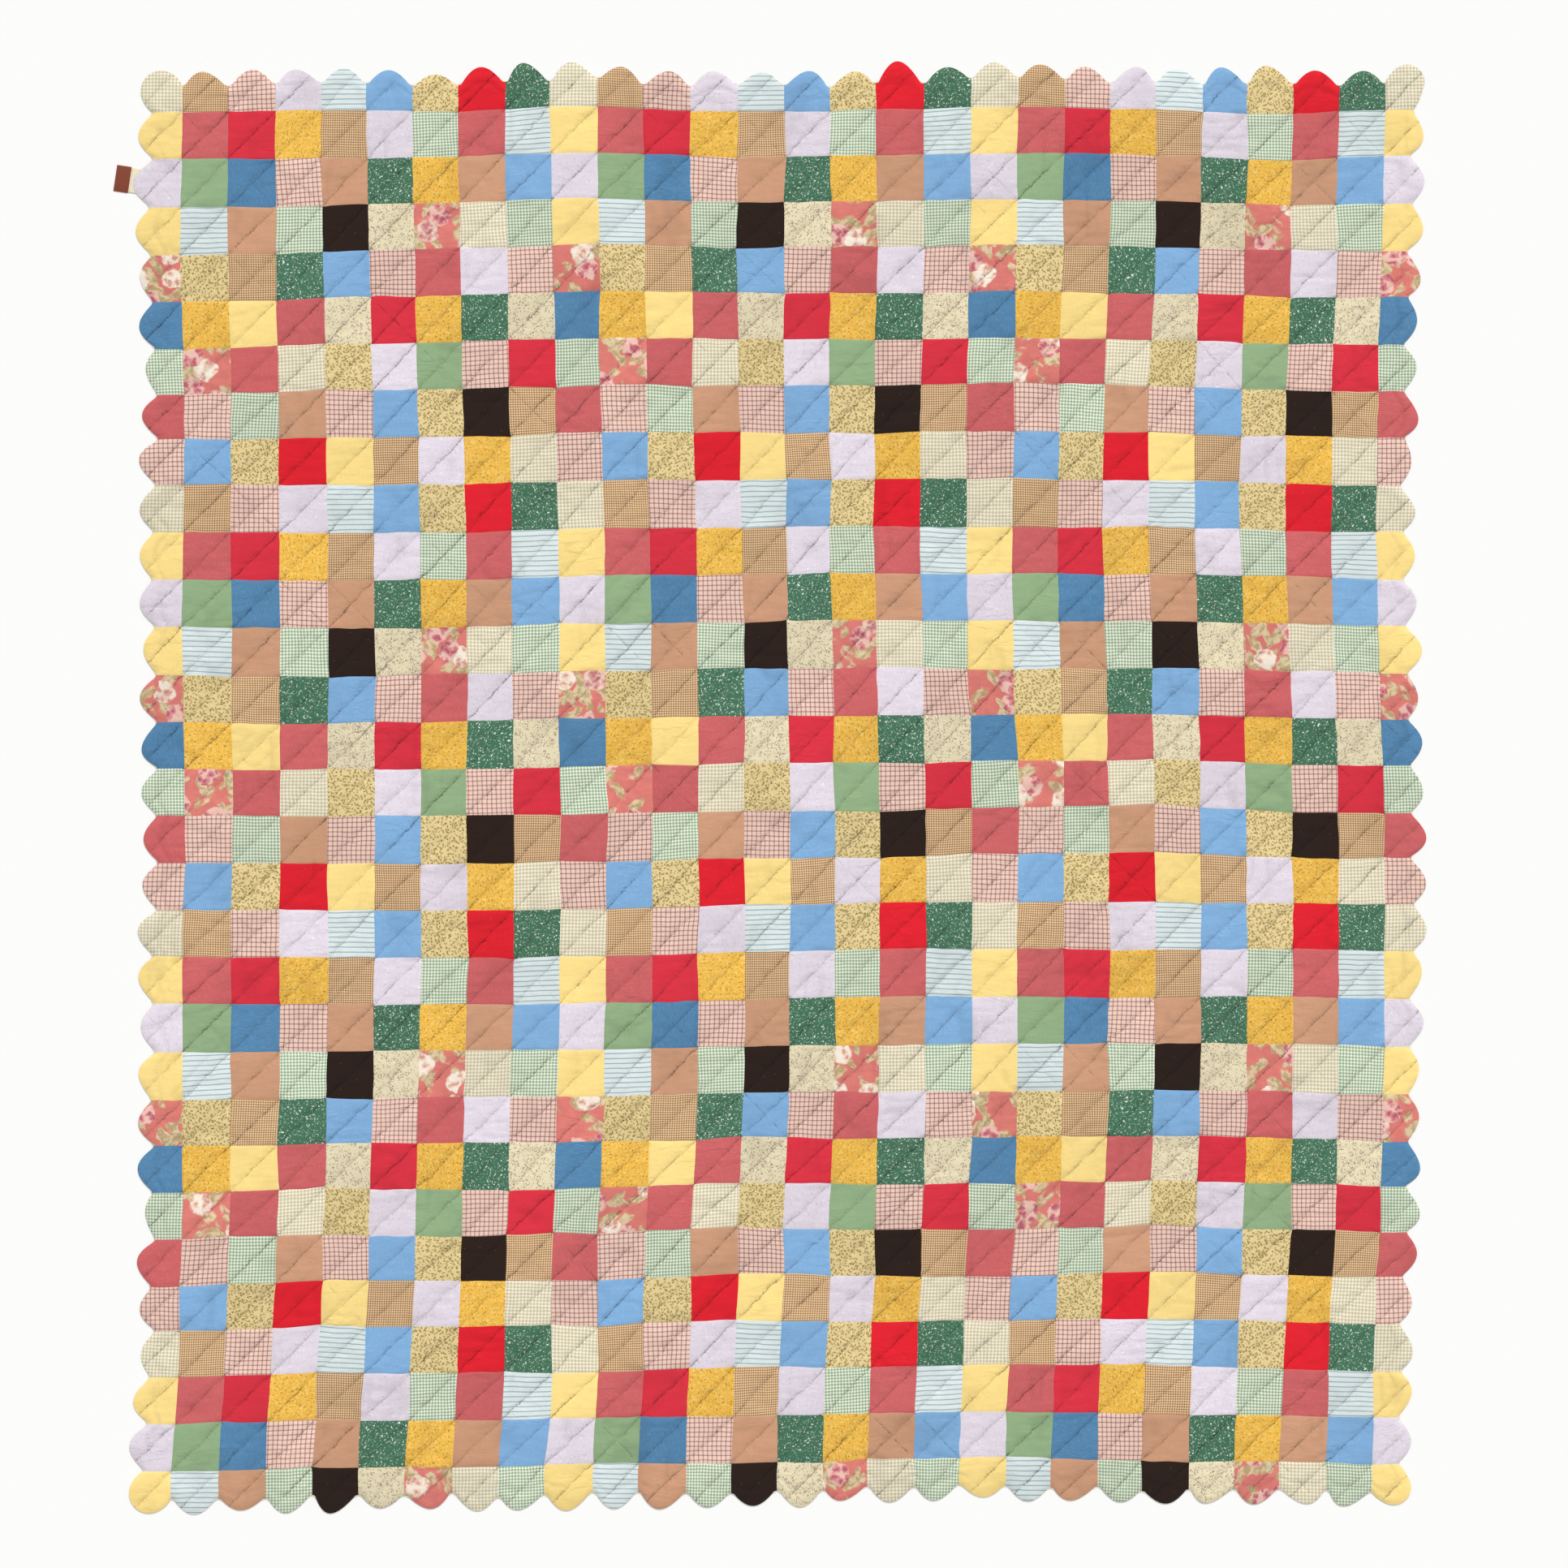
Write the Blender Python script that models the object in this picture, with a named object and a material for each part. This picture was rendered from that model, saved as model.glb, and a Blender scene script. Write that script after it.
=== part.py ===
"""A patchwork quilt with a scalloped edge, lying flat, and the woven label sewn to its left side.

Upright seams are numbered 1 to 27 from the left and level seams 1 to 30 from the top.
X runs across the quilt to the right, Y up the quilt, and Z up from its flat underside.
The origin is the middle of the patchwork, on the underside.
"""

import math
import random
from typing import NamedTuple

import bmesh
import bpy
import numpy as np
from mathutils import Vector
from mathutils.geometry import delaunay_2d_cdt, intersect_line_line_2d

MM = 0.001

# The patchwork: square patches of 70 mm, a little drawn in by washing
COLUMNS = 28
ROWS = 31
PITCH_ACROSS = 69.4 * MM
PITCH_UP = 70.1 * MM
LAST_SEAM = COLUMNS - 1
LAST_LEVEL = ROWS - 1

# How far the sewn seams stray from the even grid, in mm.
# The key is the level seam, the columns are these upright seams.
STRAY_SEAMS = (1, 4, 7, 10, 13, 16, 19, 22, 25, 27)
STRAY_RIGHT = {
    1: (0, 1, -3, -3, 1, -1, 5, 3, 0, 0),
    4: (-2, 4, 1, 1, -1, 2, 2, 2, -4, -6),
    7: (3, 9, 4, 3, 2, -3, -2, -8, -9, -11),
    10: (1, 9, 10, 8, 6, -4, -4, -9, -12, -15),
    13: (1, 12, 11, 10, 10, 2, -2, -2, -4, -9),
    16: (4, 11, 11, 13, 11, 5, 5, 0, 0, -1),
    19: (1, 11, 12, 11, 11, 6, 4, 2, 0, -1),
    22: (1, 9, 7, 8, 10, 4, 4, 1, 0, -3),
    25: (0, 4, 2, 0, 0, -1, -1, -7, -4, -9),
    26: (-3, 2, 1, -2, 0, -2, -6, -7, -7, -15),
    28: (-6, -6, -4, -1, -3, -10, -9, -13, -15, -18),
    30: (-17, -13, -12, -9, -9, -13, -15, -18, -20, -19),
}
STRAY_UP = {
    1: (-2, 1, -1, 6, -2, 2, 6, 2, -6, 2),
    4: (-7, -2, 5, 12, 6, 6, 10, 6, 1, 1),
    7: (-5, 2, 4, 10, 10, 9, 13, 9, 1, 0),
    10: (0, -1, -1, 6, 6, 8, 8, 7, 3, 0),
    13: (-4, -7, -2, 2, 5, 7, 5, 6, 2, -1),
    16: (-6, -6, -6, -2, 3, 2, 8, 11, 0, -1),
    19: (-6, -7, -7, -5, 0, 6, 6, 4, 6, 3),
    22: (-10, -9, -5, -6, 1, 1, 2, 4, 2, -3),
    25: (-10, -1, -6, 0, 9, 5, 6, 11, 5, 0),
    26: (-10, 0, -1, 0, 11, 6, 6, 13, 6, 4),
    28: (-6, 0, 0, 2, 9, 10, 14, 13, 7, 3),
    30: (-7, 1, -2, 6, 4, 11, 15, 8, 8, 4),
}

# Hand-sewn unevenness: standard deviations of seeded errors, as lengths or shares
SEED = 28
CROSSING_ERROR = 0.9 * MM
SHOULDER_ERROR = 2.2 * MM
LOBE_DEPTH_ERROR = 0.14
LOBE_LEAN_ERROR = 0.15


class Side(NamedTuple):
    """One scalloped side: how far its border patches reach past the outermost seam."""

    outward: tuple  # unit direction out of the quilt
    shoulder: float  # reach at a seam between two lobes
    tip: float  # reach at the middle of a lobe
    width: float  # share of the patch that the lobe takes
    fullness: float  # below 1 is rounder, above 1 more pointed
    lean: float  # anticlockwise, as a share of the lobe's depth


BOTTOM = Side((0, -1), 43.3 * MM, 64.8 * MM, 0.89, 0.45, -0.15)
RIGHT = Side((1, 0), 40.5 * MM, 59.0 * MM, 0.93, 0.48, -0.12)
TOP = Side((0, 1), 40.2 * MM, 62.4 * MM, 0.88, 0.45, 0.08)
LEFT = Side((-1, 0), 43.6 * MM, 65.0 * MM, 0.91, 0.45, -0.07)
LOBE_STEPS = 8


class Corner(NamedTuple):
    """One round corner lobe, placed from the outermost crossing of its seams."""

    right: float  # of the lobe's middle, from the crossing
    up: float
    radius: float


BOTTOM_RIGHT = Corner(33 * MM, -35 * MM, 26 * MM)
TOP_RIGHT = Corner(33 * MM, 42 * MM, 26 * MM)
TOP_LEFT = Corner(-32 * MM, 32 * MM, 30.5 * MM)
BOTTOM_LEFT = Corner(-33 * MM, -33 * MM, 30 * MM)
CORNER_STEPS = 16
CORNER_NECK = 0.22  # share of the corner's sweep that bends in to its shoulder

# Heights of the quilted top above the underside
STITCH_HEIGHT = 3.0 * MM
PUFF_HEIGHT = 6.5 * MM
PUFF_ERROR = 0.9 * MM  # at most, either way
RIM_HEIGHT = 2.2 * MM
LOBE_PUFF_HEIGHT = 5.2 * MM
LOBE_PUFF_PLACES = (-0.5, 0.0, 0.5)
LOBE_PUFF_REACH = 0.55

# The label: it sticks out of the second lobe of the fourth side, which it has pulled out
LABEL_LOBE = (3, 1)
LABEL_LOBE_STRETCH = 1.35
LABEL_WIDTH = 22.0 * MM
LABEL_LENGTH = 39.5 * MM
LABEL_THICK = 1.0 * MM
LABEL_FROM_TIP = Vector((-15.7, 6.5)) * MM
LABEL_TURN = math.radians(-8.5)
PIECE_GAP = 0.3 * MM
TAPE_EDGE_GAP = 0.5 * MM
TAPE_LENGTH = 37.5 * MM
TAPE_STEPS = 8
TAPE_SEARCH = 60 * MM

# Colours, as linear red, green and blue
CALICO = (0.62, 0.42, 0.33)
RUSSET = (0.24, 0.07, 0.04)
CREAM = (0.80, 0.68, 0.50)
CLOTH_ROUGHNESS = 0.9


def clear_scene():
    """Removes every object that the scene holds."""
    for ob in list(bpy.data.objects):
        bpy.data.objects.remove(ob, do_unlink=True)


def cloth(name, colour):
    """A matt cloth material."""
    material = bpy.data.materials.new(name)
    material.use_nodes = True
    shader = material.node_tree.nodes["Principled BSDF"]
    shader.inputs["Base Color"].default_value = (*colour, 1.0)
    shader.inputs["Roughness"].default_value = CLOTH_ROUGHNESS
    shader.inputs["Metallic"].default_value = 0.0
    return material


def add_object(name, bm, material):
    """Turns a bmesh into a named object with one material."""
    bmesh.ops.recalc_face_normals(bm, faces=bm.faces)
    mesh = bpy.data.meshes.new(name)
    bm.to_mesh(mesh)
    bm.free()
    mesh.materials.append(material)
    mesh.shade_smooth()
    mesh.set_sharp_from_angle(angle=math.radians(50))
    ob = bpy.data.objects.new(name, mesh)
    bpy.context.scene.collection.objects.link(ob)
    return ob


def stray(table, seam, level):
    """Reads a stray table between its rows and columns."""
    levels = sorted(table)
    at_levels = [np.interp(seam, STRAY_SEAMS, table[row]) for row in levels]
    return float(np.interp(level, levels, at_levels)) * MM


def sewn_crossings():
    """The place of every crossing of two seams, by (upright seam, level seam)."""
    rng = random.Random(SEED)
    crossings = {}
    for level in range(1, LAST_LEVEL + 1):
        for seam in range(1, LAST_SEAM + 1):
            x = (seam - COLUMNS / 2) * PITCH_ACROSS + stray(STRAY_RIGHT, seam, level)
            y = (ROWS / 2 - level) * PITCH_UP + stray(STRAY_UP, seam, level)
            error = Vector((rng.gauss(0, CROSSING_ERROR), rng.gauss(0, CROSSING_ERROR)))
            crossings[seam, level] = Vector((x, y)) + error
    return crossings


def lobe_rise(side, t):
    """Share of a lobe's depth at t, which is -1 at one shoulder and 1 at the other."""
    u = min(1.0, abs(t) / side.width)
    return ((1 + math.cos(math.pi * u)) / 2) ** side.fullness


def lobe_points(side, start, end, rng, stretch=1.0):
    """The points of one lobe between two shoulders, without the shoulders."""
    outward = Vector(side.outward)
    along = (end - start).normalized()
    depth = (side.tip - side.shoulder) * (1 + rng.gauss(0, LOBE_DEPTH_ERROR)) * stretch
    lean = side.lean + rng.gauss(0, LOBE_LEAN_ERROR)
    points = []
    for step in range(1, LOBE_STEPS):
        t = 2 * step / LOBE_STEPS - 1
        rise = depth * lobe_rise(side, t)
        points.append(start.lerp(end, (t + 1) / 2) + outward * rise + along * lean * rise)
    return points


def corner_points(corner, crossing, start, end):
    """The points of a round corner lobe between two shoulders, anticlockwise."""
    middle = crossing + Vector((corner.right, corner.up))
    first = start - middle
    last = end - middle
    first_angle = math.atan2(first.y, first.x)
    sweep = (math.atan2(last.y, last.x) - first_angle) % (2 * math.pi)
    points = []
    for step in range(1, CORNER_STEPS):
        u = step / CORNER_STEPS
        near_first = max(0.0, 1 - u / CORNER_NECK) ** 2
        near_last = max(0.0, 1 - (1 - u) / CORNER_NECK) ** 2
        radius = corner.radius
        radius += (first.length - corner.radius) * near_first
        radius += (last.length - corner.radius) * near_last
        angle = first_angle + sweep * u
        points.append(middle + radius * Vector((math.cos(angle), math.sin(angle))))
    return points


class Edge(NamedTuple):
    """A scalloped side with its corner: the seams it meets, anticlockwise."""

    side: Side
    crossings: list
    corner: Corner


def edges_around(crossings):
    """The four sides anticlockwise from the bottom left, each with the corner it ends in."""
    bottom = [crossings[seam, LAST_LEVEL] for seam in range(1, LAST_SEAM + 1)]
    right = [crossings[LAST_SEAM, level] for level in range(LAST_LEVEL, 0, -1)]
    top = [crossings[seam, 1] for seam in range(LAST_SEAM, 0, -1)]
    left = [crossings[1, level] for level in range(1, LAST_LEVEL + 1)]
    return (
        Edge(BOTTOM, bottom, BOTTOM_RIGHT),
        Edge(RIGHT, right, TOP_RIGHT),
        Edge(TOP, top, TOP_LEFT),
        Edge(LEFT, left, BOTTOM_LEFT),
    )


def scalloped_outline(edges):
    """The quilt's outline anticlockwise, and each border lobe's points by (edge, lobe)."""
    rng = random.Random(SEED + 1)
    shoulders = []
    for edge in edges:
        reaches = [edge.side.shoulder + rng.gauss(0, SHOULDER_ERROR) for _ in edge.crossings]
        outward = Vector(edge.side.outward)
        shoulders.append([p + outward * reach for p, reach in zip(edge.crossings, reaches)])
    outline = []
    lobes = {}
    for number, edge in enumerate(edges):
        row = shoulders[number]
        for lobe, (start, end) in enumerate(zip(row, row[1:])):
            stretch = LABEL_LOBE_STRETCH if (number, lobe) == LABEL_LOBE else 1.0
            lobes[number, lobe] = lobe_points(edge.side, start, end, rng, stretch)
            outline.append(start)
            outline.extend(lobes[number, lobe])
        outline.append(row[-1])
        next_start = shoulders[(number + 1) % len(shoulders)][0]
        outline.extend(corner_points(edge.corner, edge.crossings[-1], row[-1], next_start))
    return outline, lobes


class Plan:
    """The top face as flat points with heights, and the folds that run between them."""

    def __init__(self, outline):
        self.points = list(outline)
        self.heights = [RIM_HEIGHT] * len(outline)
        self.outline = list(range(len(outline)))
        self.folds = []

    def add(self, point, height):
        """Adds a point and returns its number."""
        self.points.append(point)
        self.heights.append(height)
        return len(self.points) - 1


def triangles(points, folds, outline):
    """Triangles that fill an outline, with every fold as an edge between two of them."""
    filled = delaunay_2d_cdt(points, folds, [outline], 1, 1e-7)
    source = [numbers[0] for numbers in filled[3]]
    return [[source[corner] for corner in face] for face in filled[2]]


def quilted_plan(crossings, edges, outline, lobes):
    """Puffed channels between slanting stitch lines, in every patch and lobe."""
    rng = random.Random(SEED + 2)
    plan = Plan(outline)

    def puff(a, b, height=PUFF_HEIGHT):
        """The high point of a channel, halfway along a patch's seam."""
        return plan.add((a + b) / 2, height + rng.uniform(-PUFF_ERROR, PUFF_ERROR))

    corner = {key: plan.add(point, STITCH_HEIGHT) for key, point in crossings.items()}
    level_middle = {}
    upright_middle = {}
    for (seam, level), point in crossings.items():
        if seam < LAST_SEAM:
            level_middle[seam, level] = puff(point, crossings[seam + 1, level])
        if level < LAST_LEVEL:
            upright_middle[seam, level] = puff(point, crossings[seam, level + 1])
    for level in range(1, LAST_LEVEL):
        for seam in range(1, LAST_SEAM):
            stitches = (corner[seam, level + 1], corner[seam + 1, level])
            upper_ridge = (upright_middle[seam, level], level_middle[seam, level])
            lower_ridge = (level_middle[seam, level + 1], upright_middle[seam + 1, level])
            plan.folds.extend((stitches, upper_ridge, lower_ridge))
    for number, edge in enumerate(edges):
        for lobe, (start, end) in enumerate(zip(edge.crossings, edge.crossings[1:])):
            tip = lobes[number, lobe][LOBE_STEPS // 2 - 1]
            reach = (tip - (start + end) / 2) * LOBE_PUFF_REACH
            for place in LOBE_PUFF_PLACES:
                inner = start.lerp(end, (place + 1) / 2)
                plan.add(inner + reach, LOBE_PUFF_HEIGHT + rng.uniform(-PUFF_ERROR, PUFF_ERROR))
        middle = edge.crossings[-1] + Vector((edge.corner.right, edge.corner.up))
        plan.add(middle, LOBE_PUFF_HEIGHT)
    return plan


def quilt_body(plan):
    """The filled cloth: quilted top, flat underside and a thin turned-in rim."""
    bm = bmesh.new()
    top = [bm.verts.new((*point, height)) for point, height in zip(plan.points, plan.heights)]
    bottom = [bm.verts.new((*plan.points[number], 0.0)) for number in plan.outline]
    rim = [(number, number + 1) for number in plan.outline[:-1]] + [(plan.outline[-1], 0)]
    for face in triangles(plan.points, plan.folds + rim, plan.outline):
        bm.faces.new([top[corner] for corner in face])
    edge_points = [plan.points[number] for number in plan.outline]
    for face in triangles(edge_points, rim, plan.outline):
        bm.faces.new([bottom[corner] for corner in reversed(face)])
    for a, b in rim:
        bm.faces.new((top[a], bottom[a], bottom[b], top[b]))
    return add_object("quilt_body", bm, cloth("patchwork cotton", CALICO))


def flat_piece(name, outline, thickness, material):
    """A flat piece of cloth of one thickness that lies on the ground."""
    bm = bmesh.new()
    face = bm.faces.new([bm.verts.new((*point, 0.0)) for point in outline])
    grown = bmesh.ops.extrude_face_region(bm, geom=[face])["geom"]
    lifted = [item for item in grown if isinstance(item, bmesh.types.BMVert)]
    bmesh.ops.translate(bm, verts=lifted, vec=(0, 0, thickness))
    return add_object(name, bm, material)


def distance_to_outline(start, direction, outline):
    """How far a line runs from its start to the first place where it meets the outline."""
    end = start + direction * TAPE_SEARCH
    hits = [
        intersect_line_line_2d(start, end, a, b)
        for a, b in zip(outline, outline[1:] + outline[:1])
    ]
    return min((hit - start).length for hit in hits if hit is not None)


def label_pieces(tip, outline):
    """The woven label and the cream tape that joins it to the lobe."""
    across = Vector((math.cos(LABEL_TURN), math.sin(LABEL_TURN)))
    up = Vector((-across.y, across.x))
    middle = tip + LABEL_FROM_TIP
    half_width = across * LABEL_WIDTH / 2
    half_length = up * LABEL_LENGTH / 2
    label = [
        middle - half_width - half_length,
        middle + half_width - half_length,
        middle + half_width + half_length,
        middle - half_width + half_length,
    ]
    flat_piece("label", label, LABEL_THICK, cloth("russet woven label", RUSSET))

    near_edge = middle + half_width + across * PIECE_GAP
    rows = [TAPE_LENGTH * (step / TAPE_STEPS - 0.5) for step in range(TAPE_STEPS + 1)]
    tape = []
    for height in rows:
        start = near_edge + up * height
        reach = distance_to_outline(start, across, outline) - TAPE_EDGE_GAP
        tape.append(start + across * reach)
    tape.append(near_edge + up * TAPE_LENGTH / 2)
    tape.append(near_edge - up * TAPE_LENGTH / 2)
    flat_piece("label_tape", tape, LABEL_THICK, cloth("cream tape", CREAM))


def main():
    """Builds the quilt and its label."""
    clear_scene()
    crossings = sewn_crossings()
    edges = edges_around(crossings)
    outline, lobes = scalloped_outline(edges)
    quilt_body(quilted_plan(crossings, edges, outline, lobes))
    label_tip = lobes[LABEL_LOBE][LOBE_STEPS // 2 - 1]
    label_pieces(label_tip, outline)


main()
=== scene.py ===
"""Looks of a washed patchwork quilt with a scalloped edge, laid out flat and seen from straight above.

The quilted top is pieced from twenty cottons in a repeat of nine by nine patches, and quilted
corner to corner in slanting lines. A plain backing lies under it, its edge is turned in to a thin
roll, and a small woven label sticks out of the left side.
X runs across the quilt, Y up to its top edge and Z up from the ground it lies on, in metres.
"""

import logging
import math
import random
from dataclasses import dataclass, field
from enum import Enum

import bmesh
import bpy
import numpy as np
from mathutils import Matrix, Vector


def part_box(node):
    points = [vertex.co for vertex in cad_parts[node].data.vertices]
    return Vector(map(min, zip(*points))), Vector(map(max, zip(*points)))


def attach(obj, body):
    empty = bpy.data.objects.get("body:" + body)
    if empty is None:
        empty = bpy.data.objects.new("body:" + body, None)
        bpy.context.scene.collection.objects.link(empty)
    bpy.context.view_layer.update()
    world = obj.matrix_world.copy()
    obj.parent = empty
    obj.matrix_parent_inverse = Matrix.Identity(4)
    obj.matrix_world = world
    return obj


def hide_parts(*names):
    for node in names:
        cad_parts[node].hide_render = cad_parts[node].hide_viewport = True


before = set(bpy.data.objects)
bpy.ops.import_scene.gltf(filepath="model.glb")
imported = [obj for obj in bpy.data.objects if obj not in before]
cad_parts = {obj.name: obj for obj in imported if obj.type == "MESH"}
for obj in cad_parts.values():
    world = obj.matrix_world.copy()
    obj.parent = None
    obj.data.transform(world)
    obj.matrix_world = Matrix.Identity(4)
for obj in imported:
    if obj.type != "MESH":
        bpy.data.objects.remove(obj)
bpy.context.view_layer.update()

LOG = logging.getLogger("quilt")
MM = 0.001

COLUMNS = 28
ROWS = 31
PITCH_ACROSS = 69.4 * MM
PITCH_UP = 70.1 * MM
LAST_SEAM = COLUMNS - 1
LAST_LEVEL = ROWS - 1
LINE_SPACING = 70.0 / math.sqrt(2)  # mm between two slanting stitch lines
PATCH_MM = 70.0

# How far the sewn seams stray from the even grid, in mm.
# The key is the level seam, the columns are these upright seams.
STRAY_SEAMS = (1, 4, 7, 10, 13, 16, 19, 22, 25, 27)
STRAY_RIGHT = {
    1: (0, 1, -3, -3, 1, -1, 5, 3, 0, 0),
    4: (-2, 4, 1, 1, -1, 2, 2, 2, -4, -6),
    7: (3, 9, 4, 3, 2, -3, -2, -8, -9, -11),
    10: (1, 9, 10, 8, 6, -4, -4, -9, -12, -15),
    13: (1, 12, 11, 10, 10, 2, -2, -2, -4, -9),
    16: (4, 11, 11, 13, 11, 5, 5, 0, 0, -1),
    19: (1, 11, 12, 11, 11, 6, 4, 2, 0, -1),
    22: (1, 9, 7, 8, 10, 4, 4, 1, 0, -3),
    25: (0, 4, 2, 0, 0, -1, -1, -7, -4, -9),
    26: (-3, 2, 1, -2, 0, -2, -6, -7, -7, -15),
    28: (-6, -6, -4, -1, -3, -10, -9, -13, -15, -18),
    30: (-17, -13, -12, -9, -9, -13, -15, -18, -20, -19),
}
STRAY_UP = {
    1: (-2, 1, -1, 6, -2, 2, 6, 2, -6, 2),
    4: (-7, -2, 5, 12, 6, 6, 10, 6, 1, 1),
    7: (-5, 2, 4, 10, 10, 9, 13, 9, 1, 0),
    10: (0, -1, -1, 6, 6, 8, 8, 7, 3, 0),
    13: (-4, -7, -2, 2, 5, 7, 5, 6, 2, -1),
    16: (-6, -6, -6, -2, 3, 2, 8, 11, 0, -1),
    19: (-6, -7, -7, -5, 0, 6, 6, 4, 6, 3),
    22: (-10, -9, -5, -6, 1, 1, 2, 4, 2, -3),
    25: (-10, -1, -6, 0, 9, 5, 6, 11, 5, 0),
    26: (-10, 0, -1, 0, 11, 6, 6, 13, 6, 4),
    28: (-6, 0, 0, 2, 9, 10, 14, 13, 7, 3),
    30: (-7, 1, -2, 6, 4, 11, 15, 8, 8, 4),
}
SEED = 28
CROSSING_ERROR = 0.9 * MM
SHOULDER_ERROR = 2.2 * MM
LOBE_DEPTH_ERROR = 0.14
LOBE_LEAN_ERROR = 0.15
LABEL_LOBE = (3, 1)  # the side and lobe that the label has pulled out
LABEL_LOBE_STRETCH = 1.35

# The fabrics of the nine by nine repeat, a row of the quilt on each line, from the top left
CHART = (
    "cream_gingham tan_gingham pink_plaid lilac_dot pale_stripe sky_blue tan_leaf red green_speck",
    "yellow rose crimson gold_curl tan_gingham lilac_dot mint_gingham rose pale_stripe",
    "lilac_dot sage denim pink_plaid tan green_speck gold_curl tan sky_blue",
    "yellow pale_stripe tan mint_gingham black cream_sprig chintz cream_gingham mint_gingham",
    "chintz tan_leaf tan_gingham green_speck sky_blue pink_plaid rose lilac_dot pink_plaid",
    "denim gold_curl yellow rose cream_sprig crimson gold_curl green_speck cream_sprig",
    "mint_gingham chintz rose cream_gingham tan_leaf lilac_dot sage pink_plaid crimson",
    "rose pink_plaid mint_gingham tan pink_plaid sky_blue tan_leaf black tan_gingham",
    "pink_plaid sky_blue tan_leaf red yellow tan_gingham lilac_dot gold_curl cream_gingham",
)
REPEAT = len(CHART)

Colour = tuple[float, float, float]
# fold paints shade into the folds and stitch grooves; pull and cross set the bump and the painted shade of
# the stitch lines and of the creases across them.
CLOTH_VALUES = ("tone", "fold", "pull", "cross", "soft")


def srgb(code: str) -> Colour:
    """Turns a colour as painters' software writes it into linear light.

    Args:
        code: six hexadecimal digits, red, green and blue.

    Returns:
        Linear red, green and blue.
    """
    shares = [int(code[i : i + 2], 16) / 255 for i in (0, 2, 4)]
    return tuple(s / 12.92 if s <= 0.04045 else ((s + 0.055) / 1.055) ** 2.4 for s in shares)


@dataclass
class SoftNoise:
    """Smooth seeded noise from -1 to 1 over a plane."""

    seed: int
    size: int = 512
    values: np.ndarray = field(init=False, repr=False)

    def __post_init__(self) -> None:
        """Draws the noise's lattice."""
        self.values = np.random.default_rng(self.seed).uniform(-1, 1, (self.size, self.size))

    def at(self, x: np.ndarray, y: np.ndarray) -> np.ndarray:
        """Reads the noise, with one lattice step per unit.

        Args:
            x: places across.
            y: places up, of the same shape.

        Returns:
            Values from -1 to 1, of the same shape.
        """
        i = np.floor(x).astype(int)
        j = np.floor(y).astype(int)
        u = x - i
        v = y - j
        u = u * u * (3 - 2 * u)
        v = v * v * (3 - 2 * v)
        n = self.size
        low = self.values[j % n, i % n] * (1 - u) + self.values[j % n, (i + 1) % n] * u
        high = self.values[(j + 1) % n, i % n] * (1 - u) + self.values[(j + 1) % n, (i + 1) % n] * u
        return low * (1 - v) + high * v


class Layer(Enum):
    """The layers of soft noise, each with its own place after the seed."""

    WANDER = 10
    SIDEWAYS = 11
    UPWARDS = 12
    PINCH = 13
    RIPPLE = 14
    SWELL = 15
    FINE_SWELL = 16
    LEVEL_CREASE = 20
    LEVEL_HERE = 21
    UPRIGHT_CREASE = 22
    UPRIGHT_HERE = 23
    SLANT_CREASE = 24
    SLANT_HERE = 25
    SHOULDER = 26
    SHOULDER_HERE = 27
    ROLL = 30
    BLOTCH = 40
    MIDDLE_BLOTCH = 41
    FINE_BLOTCH = 42
    FIRM = 44
    FINE_FIRM = 45

    def at(self, x: np.ndarray, y: np.ndarray) -> np.ndarray:
        """Reads this layer, with one lattice step per unit."""
        return SoftNoise(SEED + self.value).at(x, y)


class SideName(Enum):
    """The four scalloped sides, anticlockwise from the bottom."""

    BOTTOM = 0
    RIGHT = 1
    TOP = 2
    LEFT = 3


@dataclass(frozen=True)
class Side:
    """One scalloped side and the corner lobe that it ends in, anticlockwise."""

    name: SideName
    outward: tuple[float, float]
    shoulder: float
    tip: float
    width: float
    fullness: float
    lean: float
    corner: tuple[float, float]
    radius: float

    def rise(self, t: float) -> float:
        """Share of a lobe's depth at t, from -1 at one shoulder to 1 at the other."""
        u = min(1.0, abs(t) / self.width)
        return ((1 + math.cos(math.pi * u)) / 2) ** self.fullness


SIDES = (
    Side(SideName.BOTTOM, (0, -1), 43.3 * MM, 64.8 * MM, 0.89, 0.45, -0.15, (33 * MM, -35 * MM), 26 * MM),
    Side(SideName.RIGHT, (1, 0), 40.5 * MM, 59.0 * MM, 0.93, 0.48, -0.12, (33 * MM, 42 * MM), 26 * MM),
    Side(SideName.TOP, (0, 1), 40.2 * MM, 62.4 * MM, 0.88, 0.45, 0.08, (-32 * MM, 32 * MM), 30.5 * MM),
    Side(SideName.LEFT, (-1, 0), 43.6 * MM, 65.0 * MM, 0.91, 0.45, -0.07, (-33 * MM, -33 * MM), 30 * MM),
)
CORNER_NECK = 0.22


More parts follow.
